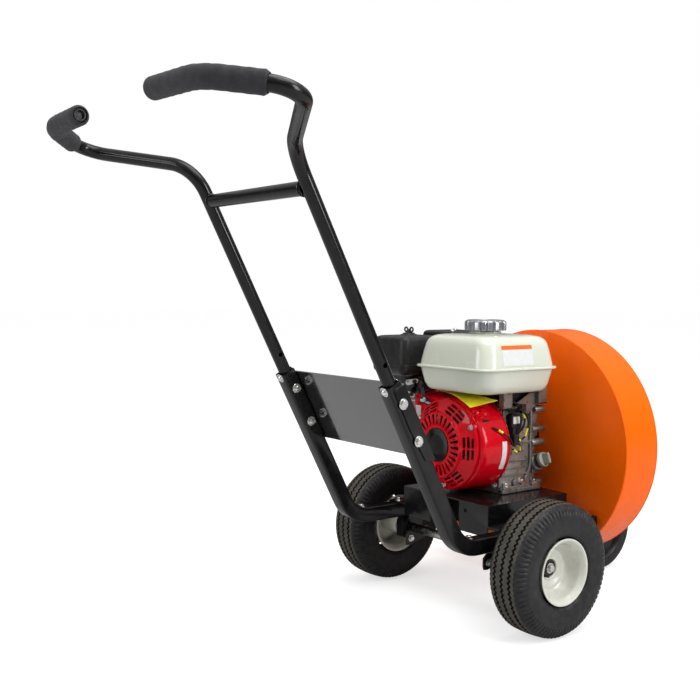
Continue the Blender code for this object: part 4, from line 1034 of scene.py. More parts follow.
def cylinder():
    """Head, rocker cover with its bolts, and the spark plug's cap and lead."""
    soften("cylinder_head", CASTING, "chassis", 0.0005, 2)
    soften("rocker_cover", DARK_STEEL, "chassis", 0.002, 3)
    tilt, reach = math.radians(25), 0.1843
    out = Vector((-math.cos(tilt), 0, math.sin(tilt)))
    across = Vector((math.sin(tilt), 0, math.cos(tilt)))
    face = at(CRANK.x, 0.105, CRANK.z) + out * reach
    places = [(face + across * u + Vector((0, v, 0)), out)
              for u in (-0.024, 0.024) for v in (-0.028, 0.028)]
    bolts("rocker_cover_bolts", places, radius=0.0046, head=0.004, washer=0.0008)

    cap = middle("spark_plug_cap")
    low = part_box("spark_plug_cap")[0].y
    boot = [(0, 0.0295), (0.006, 0.0295), (0.008, 0.027), (0.0085, 0.023), (0.0074, 0.021),
            (0.0074, 0.0195), (0.0085, 0.018), (0.0085, 0.004), (0.0066, 0.0004), (0, 0.0004)]
    turned("plug_cap_boot", BLACK_RUBBER, boot, Vector((cap.x, low, cap.z)), (0, 1, 0), steps=36,
           nodes=("spark_plug_cap",))
    wire("plug_lead", [Vector((cap.x, low + 0.024, cap.z + 0.006)), at(-0.15, 0.187, 0.424),
                       at(-0.12, 0.188, 0.44), at(-0.099, 0.166, 0.4455), at(-0.094, 0.11, 0.4465),
                       at(-0.09, 0.066, 0.4475), at(-0.084, 0.052, 0.447)], 0.0034)


# Shroud and starter ----------------------------------------------------------------------------

SHROUD_WIDE = 0.108
SHROUD_TALL = 0.0985
SHROUD_BACK = -0.022
SHROUD_STEPS = ((SHROUD_BACK, 0.93), (-0.0215, 0.95), (-0.02, 0.968), (-0.0175, 0.984),
                (-0.014, 0.993), (-0.008, 1.0), (0.05, 1.04))


def shroud_outline():
    """Seen from behind, from the crank: an oval with a square shoulder at the upper left."""
    steps, corner_steps, top_steps = 64, 8, 7
    points = []
    for i in range(steps + 1):
        a = math.radians(78 + (-165 - 78) * i / steps)
        points.append(((SHROUD_WIDE if math.cos(a) > 0 else SHROUD_TALL) * math.cos(a),
                       SHROUD_TALL * math.sin(a)))
    points += [(-0.103, 0.004), (-0.108, 0.02), (-0.112, 0.031), (-0.114, 0.05), (-0.114, 0.072)]
    for i in range(corner_steps + 1):
        a = math.radians(180 - 90 * i / corner_steps)
        points.append((-0.102 + 0.012 * math.cos(a), 0.088 + 0.012 * math.sin(a)))
    start, end = Vector(points[-1]), Vector(points[0])
    return points + [tuple(start.lerp(end, i / top_steps)) for i in range(1, top_steps)]


def shroud_scale(y):
    for (y0, s0), (y1, s1) in zip(SHROUD_STEPS, SHROUD_STEPS[1:]):
        if y <= y1:
            return s0 + (s1 - s0) * (y - y0) / (y1 - y0)
    return SHROUD_STEPS[-1][1]


def on_shroud(angle, y, lift=0.0):
    """A place on the oval part of the shroud, by its angle from the crank."""
    a, s = math.radians(angle), shroud_scale(y)
    wide, tall = SHROUD_WIDE * s, SHROUD_TALL * s
    point = Vector((wide * math.cos(a), 0, tall * math.sin(a)))
    out = Vector((math.cos(a) / wide, 0, math.sin(a) / tall)).normalized()
    return at(CRANK.x, y, CRANK.z) + point + out * lift


def shroud_level(y, scale):
    return [at(CRANK.x + u * scale, y, CRANK.z + v * scale) for u, v in shroud_outline()]


def shroud():
    """A thin pressed shell, open in front, with a round mouth behind and a rolled hem."""
    wall, mouth, round_start = 0.0018, 0.08, -0.014

    def opening(y):
        angles = (math.atan2(v, u) for u, v in shroud_outline())
        return [at(CRANK.x + mouth * math.cos(a), y, CRANK.z + mouth * math.sin(a)) for a in angles]

    rings = [opening(SHROUD_BACK)] + [shroud_level(y, s) for y, s in SHROUD_STEPS]
    rings += [shroud_level(y if y > round_start else y + wall, s - wall / 0.1)
              for y, s in reversed(SHROUD_STEPS)]
    rings.append(opening(SHROUD_BACK + wall))
    bm = bmesh.new()
    add_hoop(bm, rings)
    publish("fan_shroud", bm, RED, "chassis", 32, nodes=("fan_cover",))

    bm = bmesh.new()
    lip = shroud_level(0.0495, 1.046)
    add_sweep(bm, lip + [lip[0]], ring(0.0012, 8))
    publish("shroud_hem", bm, RED, "chassis", 50)


def shroud_relief():
    """Two raised bumps on the shroud's side, and two black patches on it that paint the shade of slots,
    which are not cut.
    """
    bm = bmesh.new()
    bump = [(0, 0.004), (0.0045, 0.0037), (0.0085, 0.0026), (0.011, 0.0008), (0.012, -0.001), (0, -0.001)]
    small = [(0, 0.0018), (0.004, 0.0018), (0.006, -0.001), (0, -0.001)]
    for profile, angle, y, steps in ((bump, 48, 0.012, 36), (small, 41, -0.004, 24)):
        spot = on_shroud(angle, y)
        add_turned(bm, profile, spot, on_shroud(angle, y, 1.0) - spot, steps)
    publish("shroud_bumps", bm, RED, "chassis", 60)

    # Black patches laid on the surface stand in for the shade inside two slots: painted shade, no hole is
    # cut.
    bm = bmesh.new()
    for y, half, angle in ((0.004, 0.0105, 35.0), (-0.004, 0.003, 38.5)):
        spot = on_shroud(angle, y, -0.0002)
        out = on_shroud(angle, y, 1.0) - spot
        flat = frame_at(spot, out)
        along = Vector((0, 1, 0))
        flat.col[0].xyz, flat.col[1].xyz = along, along.cross(out).normalized()
        add_prism(bm, round_box(half, 0.0024, 0.0018, 4), flat, 0.0012)
    publish("shroud_painted_slot_shade", bm, BLACK_RUBBER, "chassis", 40)


def shroud_labels():
    """Blank stickers on the side, the shoulder and the corner, and the two bolts seen beside them."""
    rows, first, last = 14, 7.5, -26.5
    strip = []
    for i in range(rows + 1):
        angle = first + (last - first) * i / rows
        strip.append([on_shroud(angle, y, lift) for y, lift in ((0.03, 0.0001), (0.03, 0.0007),
                                                                (0.042, 0.0007), (0.042, 0.0001))])
    bm = bmesh.new()
    add_loft(bm, strip)
    publish("shroud_side_label", bm, LABEL, "chassis", 30)
    rear = SHROUD_BACK - 0.0002
    for name, finish, y, lift, corners in (
            ("shroud_plaque", BLACK_RUBBER, rear, 0.0006,
             ((-0.114, 0.42), (-0.072, 0.415), (-0.072, 0.427), (-0.114, 0.433))),
            ("shroud_plaque_face", LABEL, rear - 0.0006, 0.0003,
             ((-0.111, 0.4235), (-0.075, 0.419), (-0.075, 0.4232), (-0.111, 0.4295))),
            ("shroud_corner_label", LABEL, rear, 0.0005,
             ((-0.12, 0.378), (-0.109, 0.378), (-0.109, 0.414), (-0.127, 0.414)))):
        patch(name, [at(x, y, z) for x, z in corners], finish, lift)
    places = [(at(0.0545, 0.044, 0.256), (0, -1, 0)), (at(-0.116, rear, 0.356), (0, -1, 0))]
    bolts("shroud_bolts", places, radius=0.005, head=0.0042, washer=0.0008)


STARTER = CRANK + Vector((0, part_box("recoil_cover")[1].y, 0))


def starter_slots():
    """Cutters: a ring of radial slots, and five groups of short ones down the cone."""
    cutters = bmesh.new()
    count, narrow, wide = 28, 0.0021, 0.0034
    slot = [(0.0438, -narrow), (0.064, -wide), (0.0652, -wide * 0.5), (0.0652, wide * 0.5), (0.064, wide),
            (0.0438, narrow), (0.043, 0)]
    face = Matrix.Translation((CRANK.x, 0, CRANK.z)) @ rear_plane(STARTER.y - 0.0305)
    for i in range(count):
        a = math.tau * i / count
        along, across = Vector((math.cos(a), math.sin(a))), Vector((-math.sin(a), math.cos(a)))
        add_prism(cutters, [along * u + across * v for u, v in slot], face, 0.01)
    slope, gap, fan = math.radians(34.5), 0.0016, 0.055
    rows = ((0.0732, 0.0216, 0.0225), (0.0808, 0.0163, 0.0235), (0.0882, 0.0112, 0.0205))
    for group in (0, 61, -61, 119, -119):
        a = math.radians(group)
        out = Vector((math.cos(a), 0, math.sin(a)))
        along = Vector((-math.sin(a), 0, math.cos(a)))
        up = (out * math.sin(slope) + Vector((0, -math.cos(slope), 0))).normalized()
        for radius, height, length in rows:
            for half in (-1, 1):
                offset = half * (length / 2 + gap)
                drop = offset ** 2 / (2 * radius)
                matrix = Matrix.Identity(4)
                matrix.col[0].xyz, matrix.col[1].xyz, matrix.col[2].xyz = along, up.cross(along), up
                matrix = matrix @ Matrix.Rotation(half * fan, 4, "Z")
                matrix.translation = (STARTER + out * (radius - drop * 0.6) + along * offset
                                      + Vector((0, -height, 0)))
                add_prism(cutters, round_box(length / 2, 0.0028, 0.0012, 2), matrix, 0.0075)
    return cutters


def starter_cover():
    """Domed cover: a badge seat, a ring of radial slots, a ridge and a vented cone; dark inside."""
    outer = [(0, 0.0305), (0.0358, 0.0305), (0.037, 0.0316), (0.0385, 0.032), (0.041, 0.0319),
             (0.0425, 0.0314), (0.065, 0.03), (0.0664, 0.0305), (0.068, 0.0298), (0.069, 0.028),
             (0.0694, 0.0256), (0.0702, 0.024), (0.072, 0.0224), (0.081, 0.0162), (0.09, 0.01),
             (0.0935, 0.0082), (0.0955, 0.0074), (0.0965, 0.006), (0.0965, 0.0001)]
    inner = [(0.0947, 0.0001), (0.0945, 0.0054), (0.0925, 0.0064), (0.089, 0.0082), (0.08, 0.0144),
             (0.07, 0.0212), (0.0675, 0.024), (0.067, 0.0268), (0.0655, 0.0282), (0.064, 0.0284),
             (0.04, 0.0298), (0, 0.0288)]
    steps = 144
    bm = bmesh.new()
    add_turned(bm, outer + inner, STARTER, (0, -1, 0), steps)
    for i, face in enumerate(bm.faces):
        face.material_index = int(i // steps >= len(outer))
    cover = publish("starter_dome", bm, (RED, BLACK_PLASTIC), "chassis", 24, nodes=("recoil_cover",))
    carve(cover, starter_slots())


def starter_fittings():
    """The blank badge, the lugs with their bolts, and the rope reel inside."""
    out = (0, -1, 0)
    badge = [(0, 0.032), (0.0335, 0.032), (0.0345, 0.0326), (0.0352, 0.0326), (0.0355, 0.0306), (0, 0.0306)]
    turned("starter_badge", BLACK, badge, STARTER, out, steps=96)
    disc = [(0, 0.0325), (0.0205, 0.0325), (0.021, 0.0321), (0, 0.0321)]
    turned("starter_badge_disc", BLACK_RUBBER, disc, STARTER, out)
    lugs, seats = bmesh.new(), []
    for radius, angle, rise in ((0.092, 29, 0.0104), (0.092, 151, 0.0104), (0.085, -86, 0.015)):
        a = math.radians(angle)
        place = STARTER + Vector((radius * math.cos(a), 0, radius * math.sin(a)))
        add_turned(lugs, [(0, rise), (0.0068, rise), (0.0078, rise - 0.001), (0.0088, 0.0002), (0, 0.0002)],
                   place, out, 32)
        seats.append((place + Vector(out) * rise, out))
    publish("starter_lugs", lugs, RED, "chassis", 40)
    bolts("starter_bolts", seats, radius=0.0044, head=0.0042, washer=0.0008)
    soften("recoil_reel", BLACK_PLASTIC, "reel", 0.0006, 2)


def starter_handle():
    """Pull grip with a waist, and the rope, which stretches from the shroud to the grip."""
    low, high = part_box("starter_grip")
    centre = (low + high) / 2
    centre.x = low.x + 0.009
    levels, half_height = 16, 0.0415
    rings = []
    for i in range(levels + 1):
        t = 2 * i / levels - 1
        end, waist = math.sqrt(1 - abs(t) ** 6), 1 - t * t
        half_x = (0.0086 - 0.0012 * waist) * end + 0.0004
        half_y = (0.0104 - 0.001 * waist) * end + 0.0004
        rings.append([centre + Vector((half_x * u, half_y * v, t * half_height)) for u, v in ring(1.0, 28)])
    bm = bmesh.new()
    add_loft(bm, rings)
    add_turned(bm, [(0, 0.0225), (0.0042, 0.0225), (0.0056, 0.0205), (0.006, 0.01), (0.0078, 0.004),
                    (0, 0.004)], centre, (1, 0, 0), 28)
    publish("pull_grip", bm, BLACK_PLASTIC, "starter", 45, nodes=("starter_grip",))

    guide_x, rope_length, steps = -0.1, 0.026, 24
    bm = bmesh.new()
    route = [(guide_x - rope_length * i / steps, centre.y, centre.z) for i in range(steps + 1)]
    add_sweep(bm, route, ring(0.0017, 12))
    rope = publish("pull_rope", bm, FOAM, None, 50)
    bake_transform(rope)


def running_gear():
    soften("crankshaft", BARE_STEEL, "rotor", 0.0004, 1)
    soften("flywheel", CASTING, "rotor", 0.0008, 2)
    soften("starter_cup", DARK_STEEL, "rotor", 0.0004, 1)
    soften("impeller", DARK_STEEL, "rotor", 0.0004, 1)


# Tank ------------------------------------------------------------------------------------------

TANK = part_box("fuel_tank")
TANK_X = (TANK[0].x + TANK[1].x) / 2
TANK_Y = (TANK[0].y + TANK[1].y) / 2
TANK_LEVELS = ((0.4552, 0.082, 0.026), (0.457, 0.0905, 0.03), (0.462, 0.0965, 0.033),
               (0.472, 0.1006, 0.034), (0.488, 0.1042, 0.035), (0.504, 0.1072, 0.035),
               (0.5046, 0.1138, 0.04), (0.5056, 0.115, 0.041), (0.5082, 0.115, 0.041),
               (0.5092, 0.1138, 0.04), (0.5098, 0.1072, 0.034), (0.518, 0.1062, 0.034), (0.54, 0.102, 0.033),
               (0.556, 0.0982, 0.032), (0.564, 0.0948, 0.032), (0.5692, 0.0896, 0.031),
               (0.5724, 0.082, 0.029), (0.5744, 0.07, 0.026), (0.5755, 0.054, 0.023),
               (0.576, 0.04, 0.02))


def tank_half(z):
    for (z0, h0, _), (z1, h1, _) in zip(TANK_LEVELS, TANK_LEVELS[1:]):
        if z <= z1:
            return h0 + (h1 - h0) * (z - z0) / (z1 - z0)
    return TANK_LEVELS[-1][1]


def tank():
    """Two pressed halves meeting in a seam, with a raised filler neck and blank labels."""
    rings = []
    for z, half, corner in TANK_LEVELS:
        rings.append([Vector((TANK_X + u, TANK_Y + v, z))
                      for u, v in round_box(half, half + 0.003, corner, 12)])
    bm = bmesh.new()
    add_loft(bm, rings)
    publish("fuel_tank_shell", bm, CREAM, "chassis", 38, nodes=("fuel_tank",))
    cap = middle("fuel_cap")
    neck = [(0.03, 0.574), (0.04, 0.5752), (0.0365, 0.5772), (0.033, 0.579), (0.0325, 0.5815),
            (0.03, 0.5815)]
    turned("filler_neck", CREAM, neck, (cap.x, cap.y, 0), (0, 0, 1), closed=True)
    fuel_cap()
    label("tank_label", LABEL, 0.5145, 0.5468)
    label("tank_label_bar", LABEL_ORANGE, 0.5476, 0.5556)


def fuel_cap():
    """A cap with scalloped sides and a dished top."""
    flutes, steps = 18, 216
    low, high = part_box("fuel_cap")
    centre, rim = (low + high) / 2, (high.x - low.x) / 2
    levels = ((0.0006, low.z, 0.003), (0, low.z + 0.001, 0.0036), (0, low.z + 0.016, 0.0036),
              (0.0008, high.z - 0.004, 0.0026), (0.003, high.z - 0.002, 0.0), (0.006, high.z - 0.0006, 0.0),
              (0.01, high.z, 0.0), (0.017, high.z - 0.0005, 0.0), (0.018, high.z - 0.0014, 0.0))
    rings = []
    for inset, z, depth in levels:
        level = []
        for i in range(steps):
            a = math.tau * i / steps
            r = rim - inset - depth * max(0.0, math.cos(flutes * a)) ** 2
            level.append(Vector((centre.x + r * math.cos(a), centre.y + r * math.sin(a), z)))
        rings.append(level)
    bm = bmesh.new()
    add_loft(bm, rings)
    publish("fuel_cap_shell", bm, CHROME, "tank_cap", 30, nodes=("fuel_cap",))


def tank_mounts():
    """The bracket, the baffle over the engine, two legs with bolts and a diagonal strut."""
    soften("tank_bracket", CASTING, "chassis", 0.0008, 2)
    boxes("upper_baffle", BLACK_PLASTIC, [(at(-0.014, 0.112, 0.44), (0.118, 0.098, 0.026))], 0.003, 3)
    legs, places = [], []
    for y, foot, head in ((0.0625, 0.418, 0.466), (0.17, 0.424, 0.462)):
        centre, height = (foot + head) / 2, head - foot
        legs.append((at(0.07, y, centre), (0.0035, 0.026, height)))
        legs.append((at(0.0605, y, foot + 0.0016), (0.0225, 0.026, 0.0032)))
        legs += [(at(0.064, y + edge, centre), (0.012, 0.0024, height)) for edge in (-0.0121, 0.0121)]
        places.append((at(0.0605, y, foot + 0.0032), (0, 0, 1)))
    boxes("tank_legs", CASTING, legs, 0.0008, 2)
    bolts("tank_leg_bolts", places, radius=0.006, head=0.006)
    bm = bmesh.new()
    add_prism(bm, [(0.098, 0.427), (0.105, 0.418), (0.136, 0.402), (0.144, 0.412), (0.174, 0.426),
                   (0.174, 0.452), (0.14, 0.448)],
              Matrix.Translation((0, AXLE.y, 0)) @ side_plane(0.06), 0.003)
    publish("tank_gusset", bm, CASTING, "chassis", 30, 0.0006, 2)


def label(name, finish, low, high):
    """A sticker on the tank's right side, following its slope."""
    rows, back, front = 8, -0.005, 0.084
    rings = []
    for i in range(rows + 1):
        z = low + (high - low) * i / rows
        x = TANK_X + tank_half(z)
        rings.append([at(x + lift, y, z) for y, lift in ((back, 0.00005), (back, 0.0005), (front, 0.0005),
                                                         (front, 0.00005))])
    bm = bmesh.new()
    add_loft(bm, rings)
    publish(name, bm, finish, "chassis", 30)


# Air cleaner, carburettor and muffler ----------------------------------------------------------

def air_cleaner():
    """Lid with a boss, bowl and the elbow to the carburettor."""
    low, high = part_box("air_cleaner_cover")
    top = high.z - 0.003
    bm = bmesh.new()
    add_loft(bm, box_levels("air_cleaner_cover", (
        (low.z + 0.0002, 0.0, 0.017), (low.z + 0.006, 0.0, 0.017), (low.z + 0.0068, 0.0014, 0.016),
        (top - 0.01, 0.0034, 0.016), (top - 0.006, 0.0044, 0.016), (top - 0.003, 0.0068, 0.015),
        (top - 0.001, 0.0115, 0.014), (top, 0.018, 0.012))))
    stud = Vector(JOINT["wing_nut_turn"]["pos_m"])
    add_turned(bm, [(0, 0.0028), (0.0165, 0.0028), (0.019, 0.002), (0.0215, -0.001), (0, -0.001)],
               (stud.x, stud.y, top), (0, 0, 1), 48)
    publish("air_cleaner_lid", bm, BLACK_PLASTIC, "chassis", 35, nodes=("air_cleaner_cover", "air_filter"))
    base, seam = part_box("air_cleaner_base")[0].z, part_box("air_cleaner_base")[1].z
    bm = bmesh.new()
    add_loft(bm, box_levels("air_cleaner_cover", (
        (base + 0.004, 0.013, 0.012), (base + 0.006, 0.008, 0.012), (base + 0.012, 0.0026, 0.016),
        (base + 0.016, 0.0004, 0.017), (seam, 0.0, 0.017))))
    publish("air_cleaner_bowl", bm, BLACK_PLASTIC, "chassis", 35, nodes=("air_cleaner_base",))

    bm = bmesh.new()
    duct = ((0.48, 0.034, 0.026), (0.466, 0.033, 0.024), (0.45, 0.03, 0.02),
            (0.436, 0.024, 0.015), (0.43, 0.016, 0.009))
    add_loft(bm, [[at(-0.182 + u, 0.006 + v, z) for u, v in round_box(half_u, half_v, 0.008, 6)]
                  for z, half_u, half_v in duct])
    publish("intake_elbow", bm, BLACK_PLASTIC, "chassis", 40)


def wing_nut():
    """A round nut with two wire wings."""
    stud = Vector(JOINT["wing_nut_turn"]["pos_m"])
    nut = Vector((stud.x, stud.y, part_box("air_cleaner_wing_nut")[0].z))
    bm = bmesh.new()
    add_turned(bm, [(0, 0.003), (0.008, 0.003), (0.0135, 0.0018), (0.0145, 0.0003), (0, 0.0003)], nut,
               (0, 0, 1), 40)
    add_turned(bm, [(0, 0.011), (0.0035, 0.011), (0.0048, 0.0095), (0.006, 0.003), (0, 0.003)], nut,
               (0, 0, 1), 32)
    for side in (-1, 1):
        loop = [nut + Vector((side * (0.0092 + 0.005 * u), 0, 0.0096 + 0.0048 * v))
                for u, v in ring(1.0, 24)]
        add_sweep(bm, loop + [loop[0]], ring(0.0019, 10))
    publish("lid_wing_nut", bm, BLACK_PLASTIC, "wing_nut", 45, nodes=("air_cleaner_wing_nut",))


def carburettor():
    """Casting with a bowl band and screws, and the fuel hose."""
    soften("carburettor", CASTING, "chassis", 0.003, 3)
    low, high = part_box("carburettor")
    bowl = Vector(((low.x + high.x) / 2, (low.y + high.y) / 2, low.z))
    bm = bmesh.new()
    add_turned(bm, [(0.0205, 0.027), (0.022, 0.027), (0.022, 0.03), (0.0205, 0.03)], bowl, (0, 0, 1),
               40, True)
    add_bolt(bm, bowl, (0, 0, -1), 0.005, 0.003, 0.0008)
    add_bolt(bm, Vector((low.x + 0.012, low.y, 0.445)), (0, -1, 0), 0.0045, 0.004, 0.0008)
    add_bolt(bm, Vector((high.x - 0.01, low.y, 0.466)), (0, -1, 0), 0.004, 0.0036, 0.0008)
    publish("carburettor_fittings", bm, ZINC, "chassis", 30)
    wire("fuel_hose", [at(-0.062, 0.012, 0.462), at(-0.078, 0.002, 0.456), at(-0.1, -0.004, 0.45),
                       at(-0.126, 0.0, 0.44), at(-0.146, 0.006, 0.43)], 0.0036)


def levers():
    """Choke, fuel valve and throttle levers, each with a screw and a knob, and their plate."""
    out = (0, -1, 0)
    for body, finish in (("choke", ZINC), ("fuel_valve", ZINC), ("throttle", DARK_STEEL)):
        node = f"{body}_lever"
        soften(node, finish, body, 0.0005, 2)
        face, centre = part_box(node)[0].y, middle(node)
        pivot = Vector(JOINT[f"{body}_turn"]["pos_m"])
        bm = bmesh.new()
        add_bolt(bm, Vector((pivot.x, face, pivot.z)), out, 0.0036, 0.0026, 0.0006)
        publish(f"{body}_screw", bm, ZINC, body, 30)
        tip = centre + (centre - pivot) * 0.72
        turned(f"{body}_knob", BLACK_PLASTIC,
               [(0, 0.0042), (0.0038, 0.004), (0.0048, 0.0026), (0.0048, 0.0002), (0, 0.0002)],
               (tip.x, face, tip.z), out, body, 24)
    bm = bmesh.new()
    add_prism(bm, [(-0.176, 0.431), (-0.139, 0.431), (-0.139, 0.45), (-0.13, 0.456),
                   (-0.13, 0.47), (-0.176, 0.47)], rear_plane(AXLE.y - 0.024), 0.0016)
    publish("control_plate", bm, DARK_STEEL, "chassis", 30, 0.0004, 2)


def muffler():
    """The muffler inside a slotted sheet guard that is open below."""
    soften("muffler", DARK_STEEL, "chassis", 0.0015, 2)
    low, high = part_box("muffler_guard")
    centre, half = (low + high) / 2, (high - low) / 2
    wall = 0.0012
    outer = box_levels("muffler_guard", (
        (low.z, 0.0, 0.014), (high.z - 0.009, 0.001, 0.014), (high.z - 0.004, 0.0024, 0.014),
        (high.z - 0.001, 0.006, 0.012), (high.z, 0.011, 0.01)))
    inner = box_levels("muffler_guard", (
        (high.z - wall, 0.0118, 0.009), (high.z - 0.0046, 0.004, 0.012), (low.z, wall, 0.013)))
    bm = bmesh.new()
    outside, inside = ([[bm.verts.new(p) for p in level] for level in shell] for shell in (outer, inner))
    bridge_all(bm, outside)
    bridge_all(bm, inside)
    bridge(bm, inside[-1], outside[0])
    bm.faces.new(outside[-1])
    bm.faces.new(inside[0])
    shield = publish("muffler_shield", bm, BLACK, "chassis", 35, nodes=("muffler_guard",))

    cutters = bmesh.new()
    first_row, pitch, depth = high.z - 0.026, 0.016, 0.008
    for i in range(5):
        for j in range(7):
            place = Vector((centre.x - 0.032 + pitch * i, centre.y - 0.036 + 0.012 * j, high.z))
            add_prism(cutters, round_box(0.005, 0.0016, 0.0015, 2), Matrix.Translation(place), 0.006)
    for row in range(4):
        z = first_row - pitch * row
        for i in range(6):
            for side in (-1, 1):
                move = Matrix.Translation((centre.x - 0.035 + 0.014 * i, z, 0))
                add_prism(cutters, round_box(0.0014, 0.005, 0.0013, 2),
                          rear_plane(centre.y + side * half.y) @ move, depth)
        for i in range(5):
            move = Matrix.Translation((centre.y - 0.032 + pitch * i, z, 0))
            add_prism(cutters, round_box(0.005, 0.0014, 0.0013, 2),
                      side_plane(centre.x - half.x) @ move, depth)
    carve(shield, cutters)
    places = [(Vector((centre.x + sx * 0.038, centre.y + sy * 0.04, high.z + 0.0001)), (0, 0, 1))
              for sx, sy in ((1, -1), (-1, 1))]
    bolts("shield_screws", places, radius=0.0042, head=0.003, washer=0.0008, domed=True)


# Small engine fittings -------------------------------------------------------------------------

def dipstick():
    """Oil filler cap with a flat grip, and its rubber seal."""
    joint = JOINT["dipstick_turn"]
    where, out = Vector(joint["pos_m"]), Vector(joint["axis"])
    bm = bmesh.new()
    add_turned(bm, [(0, 0.023), (0.0135, 0.023), (0.0155, 0.0222), (0.0163, 0.02), (0.0163, 0.015),
                    (0.015, 0.0128), (0.0122, 0.0118), (0.0122, 0.0062), (0, 0.0062)], where, out, 48)
    turn = frame_at(where, out)
    grip = ((0.0215, 0.0134, 0.0056), (0.029, 0.0128, 0.0044), (0.035, 0.012, 0.0036),
            (0.0372, 0.0112, 0.003), (0.038, 0.0098, 0.002))
    add_loft(bm, [[turn @ Vector((u, v, height)) for u, v in round_box(half_u, half_v, half_v * 0.9, 4)]
                  for height, half_u, half_v in grip])
    publish("oil_cap_shell", bm, GREY_PLASTIC, "oil_cap", 40, nodes=("dipstick",))
    seal = [(0.0122, 0.0086), (0.0146, 0.0086), (0.0156, 0.01), (0.0146, 0.0114), (0.0122, 0.0114)]
    turned("oil_cap_seal", BLACK_RUBBER, seal, where, out, "oil_cap", 40, True)


def switch():
    low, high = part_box("engine_switch")
    joint = JOINT["stop_switch_turn"]
    where = Vector((joint["pos_m"][0], high.y, joint["pos_m"][2]))
    bm = bmesh.new()
    add_turned(bm, [(0, 0.0095), (0.0058, 0.0095), (0.0072, 0.008), (0.0076, 0.001), (0, 0.001)], where,
               (0, -1, 0), 36)
    depth = high.y - low.y
    matrix = Matrix.Translation(where) @ rear_plane(-depth * 0.5 - 0.002)
    add_prism(bm, round_box(0.0022, 0.0078, 0.0021, 4), matrix, depth - 0.005)
    publish("stop_knob", bm, RED, "stop_switch", 40, nodes=("engine_switch",))


def wiring():
    """Low-oil unit with a blank label, its leads and the ground lead, and the leads' yellow bands."""
    boxes("oil_unit", BLACK_PLASTIC, [(at(0.064, 0.09, 0.393), (0.015, 0.03, 0.03)),
                                      (at(0.064, 0.113, 0.418), (0.013, 0.015, 0.016)),
                                      (at(0.065, 0.09, 0.37), (0.012, 0.02, 0.018)),
                                      (at(0.068, 0.088, 0.35), (0.014, 0.016, 0.02))], 0.0022, 3)
    corners = ((0.079, 0.386), (0.099, 0.386), (0.099, 0.401), (0.079, 0.401))
    patch("oil_unit_label", [at(0.0716, y, z) for y, z in corners], LABEL, 0.0004)
    routes = {
        "lead_a": [at(0.064, 0.098, 0.408), at(0.069, 0.1, 0.42), at(0.066, 0.088, 0.431),
                   at(0.052, 0.056, 0.436), at(0.028, 0.052, 0.444)],
        "lead_b": [at(0.064, 0.09, 0.408), at(0.076, 0.096, 0.416), at(0.079, 0.106, 0.401),
                   at(0.076, 0.106, 0.38), at(0.07, 0.098, 0.365)],
        "lead_c": [at(0.064, 0.113, 0.41), at(0.072, 0.119, 0.402), at(0.074, 0.123, 0.384),
                   at(0.072, 0.118, 0.36), at(0.069, 0.102, 0.348), at(0.066, 0.09, 0.356)],
        "lead_d": [at(0.028, 0.052, 0.44), at(0.056, 0.06, 0.425), at(0.074, 0.076, 0.411),
                   at(0.08, 0.09, 0.406), at(0.078, 0.095, 0.386), at(0.074, 0.09, 0.364)],
        "ground_lead": [on_shroud(25, 0.01, 0.0006), on_shroud(23, 0.016, 0.004),
                        on_shroud(16, 0.034, 0.005), on_shroud(9, 0.048, 0.005),
                        at(0.078, 0.072, 0.342), at(0.074, 0.084, 0.339)],
        "loop_lead": [at(0.07, 0.088, 0.348), at(0.076, 0.096, 0.34), at(0.074, 0.099, 0.329),
                      at(0.072, 0.089, 0.325), at(0.072, 0.079, 0.332)],
    }
    for name, route in routes.items():
        wire(name, route, 0.0021)
    bands = {
        "band_a": (on_shroud(21.0, 0.021, 0.0048), on_shroud(17.5, 0.03, 0.0056)),
        "band_e": (at(0.0757, 0.0965, 0.339), at(0.0737, 0.0985, 0.3285)),
        "band_f": (at(0.0726, 0.09, 0.3248), at(0.0718, 0.08, 0.3312)),
        "band_b": (at(0.0776, 0.102, 0.4095), at(0.079, 0.1062, 0.398)),
        "band_c": (at(0.0733, 0.1215, 0.374), at(0.0716, 0.116, 0.357)),
        "band_d": (at(0.0694, 0.104, 0.3482), at(0.0664, 0.092, 0.3548)),
    }
    for name, ends in bands.items():
        bm = bmesh.new()
        add_cylinder(bm, *ends, 0.0025, steps=14)
        publish(name, bm, YELLOW, "chassis", 40)


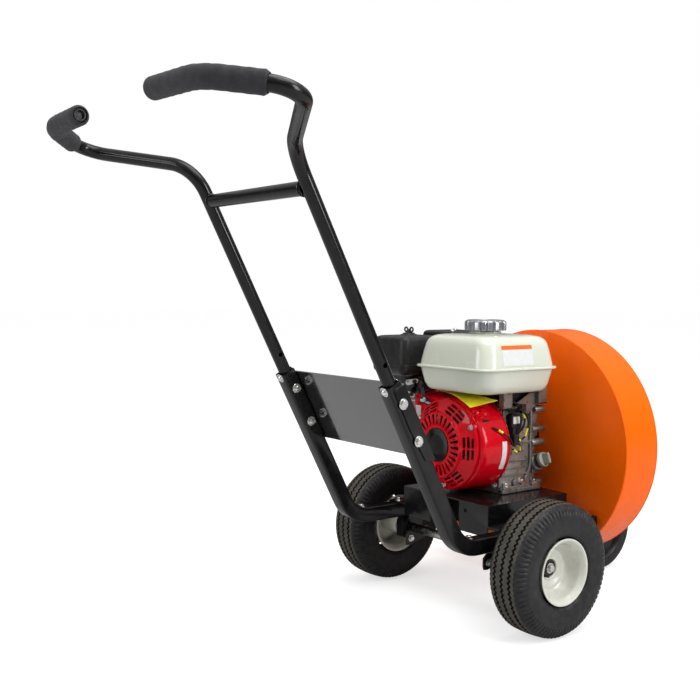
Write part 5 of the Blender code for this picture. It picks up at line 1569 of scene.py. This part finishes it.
def hang_tag():
    """A blank yellow card that bows out from under the tank."""
    left, low, right = at(-0.088, 0.01, 0.4475), at(0.083, -0.059, 0.431), at(0.086, 0.016, 0.441)
    held, bow, thick = at(-0.07, 0.03, 0.453), 0.0075, Vector((0, 0, 0.0004))
    steps, rings = 10, []
    for i in range(steps + 1):
        t = i / steps
        inner = held.lerp(right, t)
        outer = left.lerp(low, t) + Vector((0, 0, bow * math.sin(math.pi * t)))
        rings.append([outer - thick, inner - thick, inner + thick, outer + thick])
    bm = bmesh.new()
    add_loft(bm, rings)
    publish("hang_tag", bm, YELLOW, "chassis", 50)


def frame_details():
    """Bolts on the tubes, the tabs beside the axle, and the deck's flange and cross-member."""
    places = [(at(side * TUBE_X, -0.14, 0.1925), (0, 0, 1)) for side in (-1, 1)]
    bolts("tube_bolts", places, radius=0.0062, head=0.005)
    tab_x, tab_half = 0.12, 0.0021
    tab = [(-0.052, 0.113), (-0.052, 0.129), (-0.044, 0.136), (-0.012, 0.144), (0.012, 0.144),
           (0.012, 0.118), (-0.012, 0.112), (-0.04, 0.104), (-0.05, 0.105)]
    places = []
    for side, word in SIDES:
        bm = bmesh.new()
        add_prism(bm, tab, Matrix.Translation((0, AXLE.y, 0)) @ side_plane(side * tab_x), 0.004)
        publish(f"{word}_axle_tab", bm, BLACK, "chassis", 30, 0.0008, 2)
        places += [(at(side * tab_x + face * tab_half, -0.038, 0.119), (face, 0, 0)) for face in (-1, 1)]
    bolts("axle_tab_bolts", places, radius=0.0052, head=0.0044, washer=0.001)
    deck_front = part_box("engine_deck")[1].y
    boxes("deck_front_flange", BLACK, [(Vector((0, deck_front - 0.0016, 0.2145)), (0.253, 0.003, 0.036))],
          0.0008, 2)
    boxes("deck_cross_member", BLACK, [(at(0, 0.05, 0.178), (0.25, 0.003, 0.042)),
                                       (at(0, 0.06, 0.158), (0.25, 0.023, 0.003))], 0.0008, 2)


camera()
studio()
for wheel_side, wheel_word in SIDES:
    tyre(wheel_side, wheel_word)
    rim(wheel_side, wheel_word)
axle_ends()
lower_tubes()
handle()
crossbar()
frame_parts()
frame_bolts()
frame_details()
housing()
guard()
caster()
crankcase()
crankcase_relief()
crankcase_fittings()
cylinder()
shroud()
shroud_relief()
shroud_labels()
starter_cover()
starter_fittings()
starter_handle()
running_gear()
tank()
tank_mounts()
air_cleaner()
wing_nut()
carburettor()
levers()
muffler()
dipstick()
switch()
wiring()
hang_tag()

bpy.context.view_layer.update()
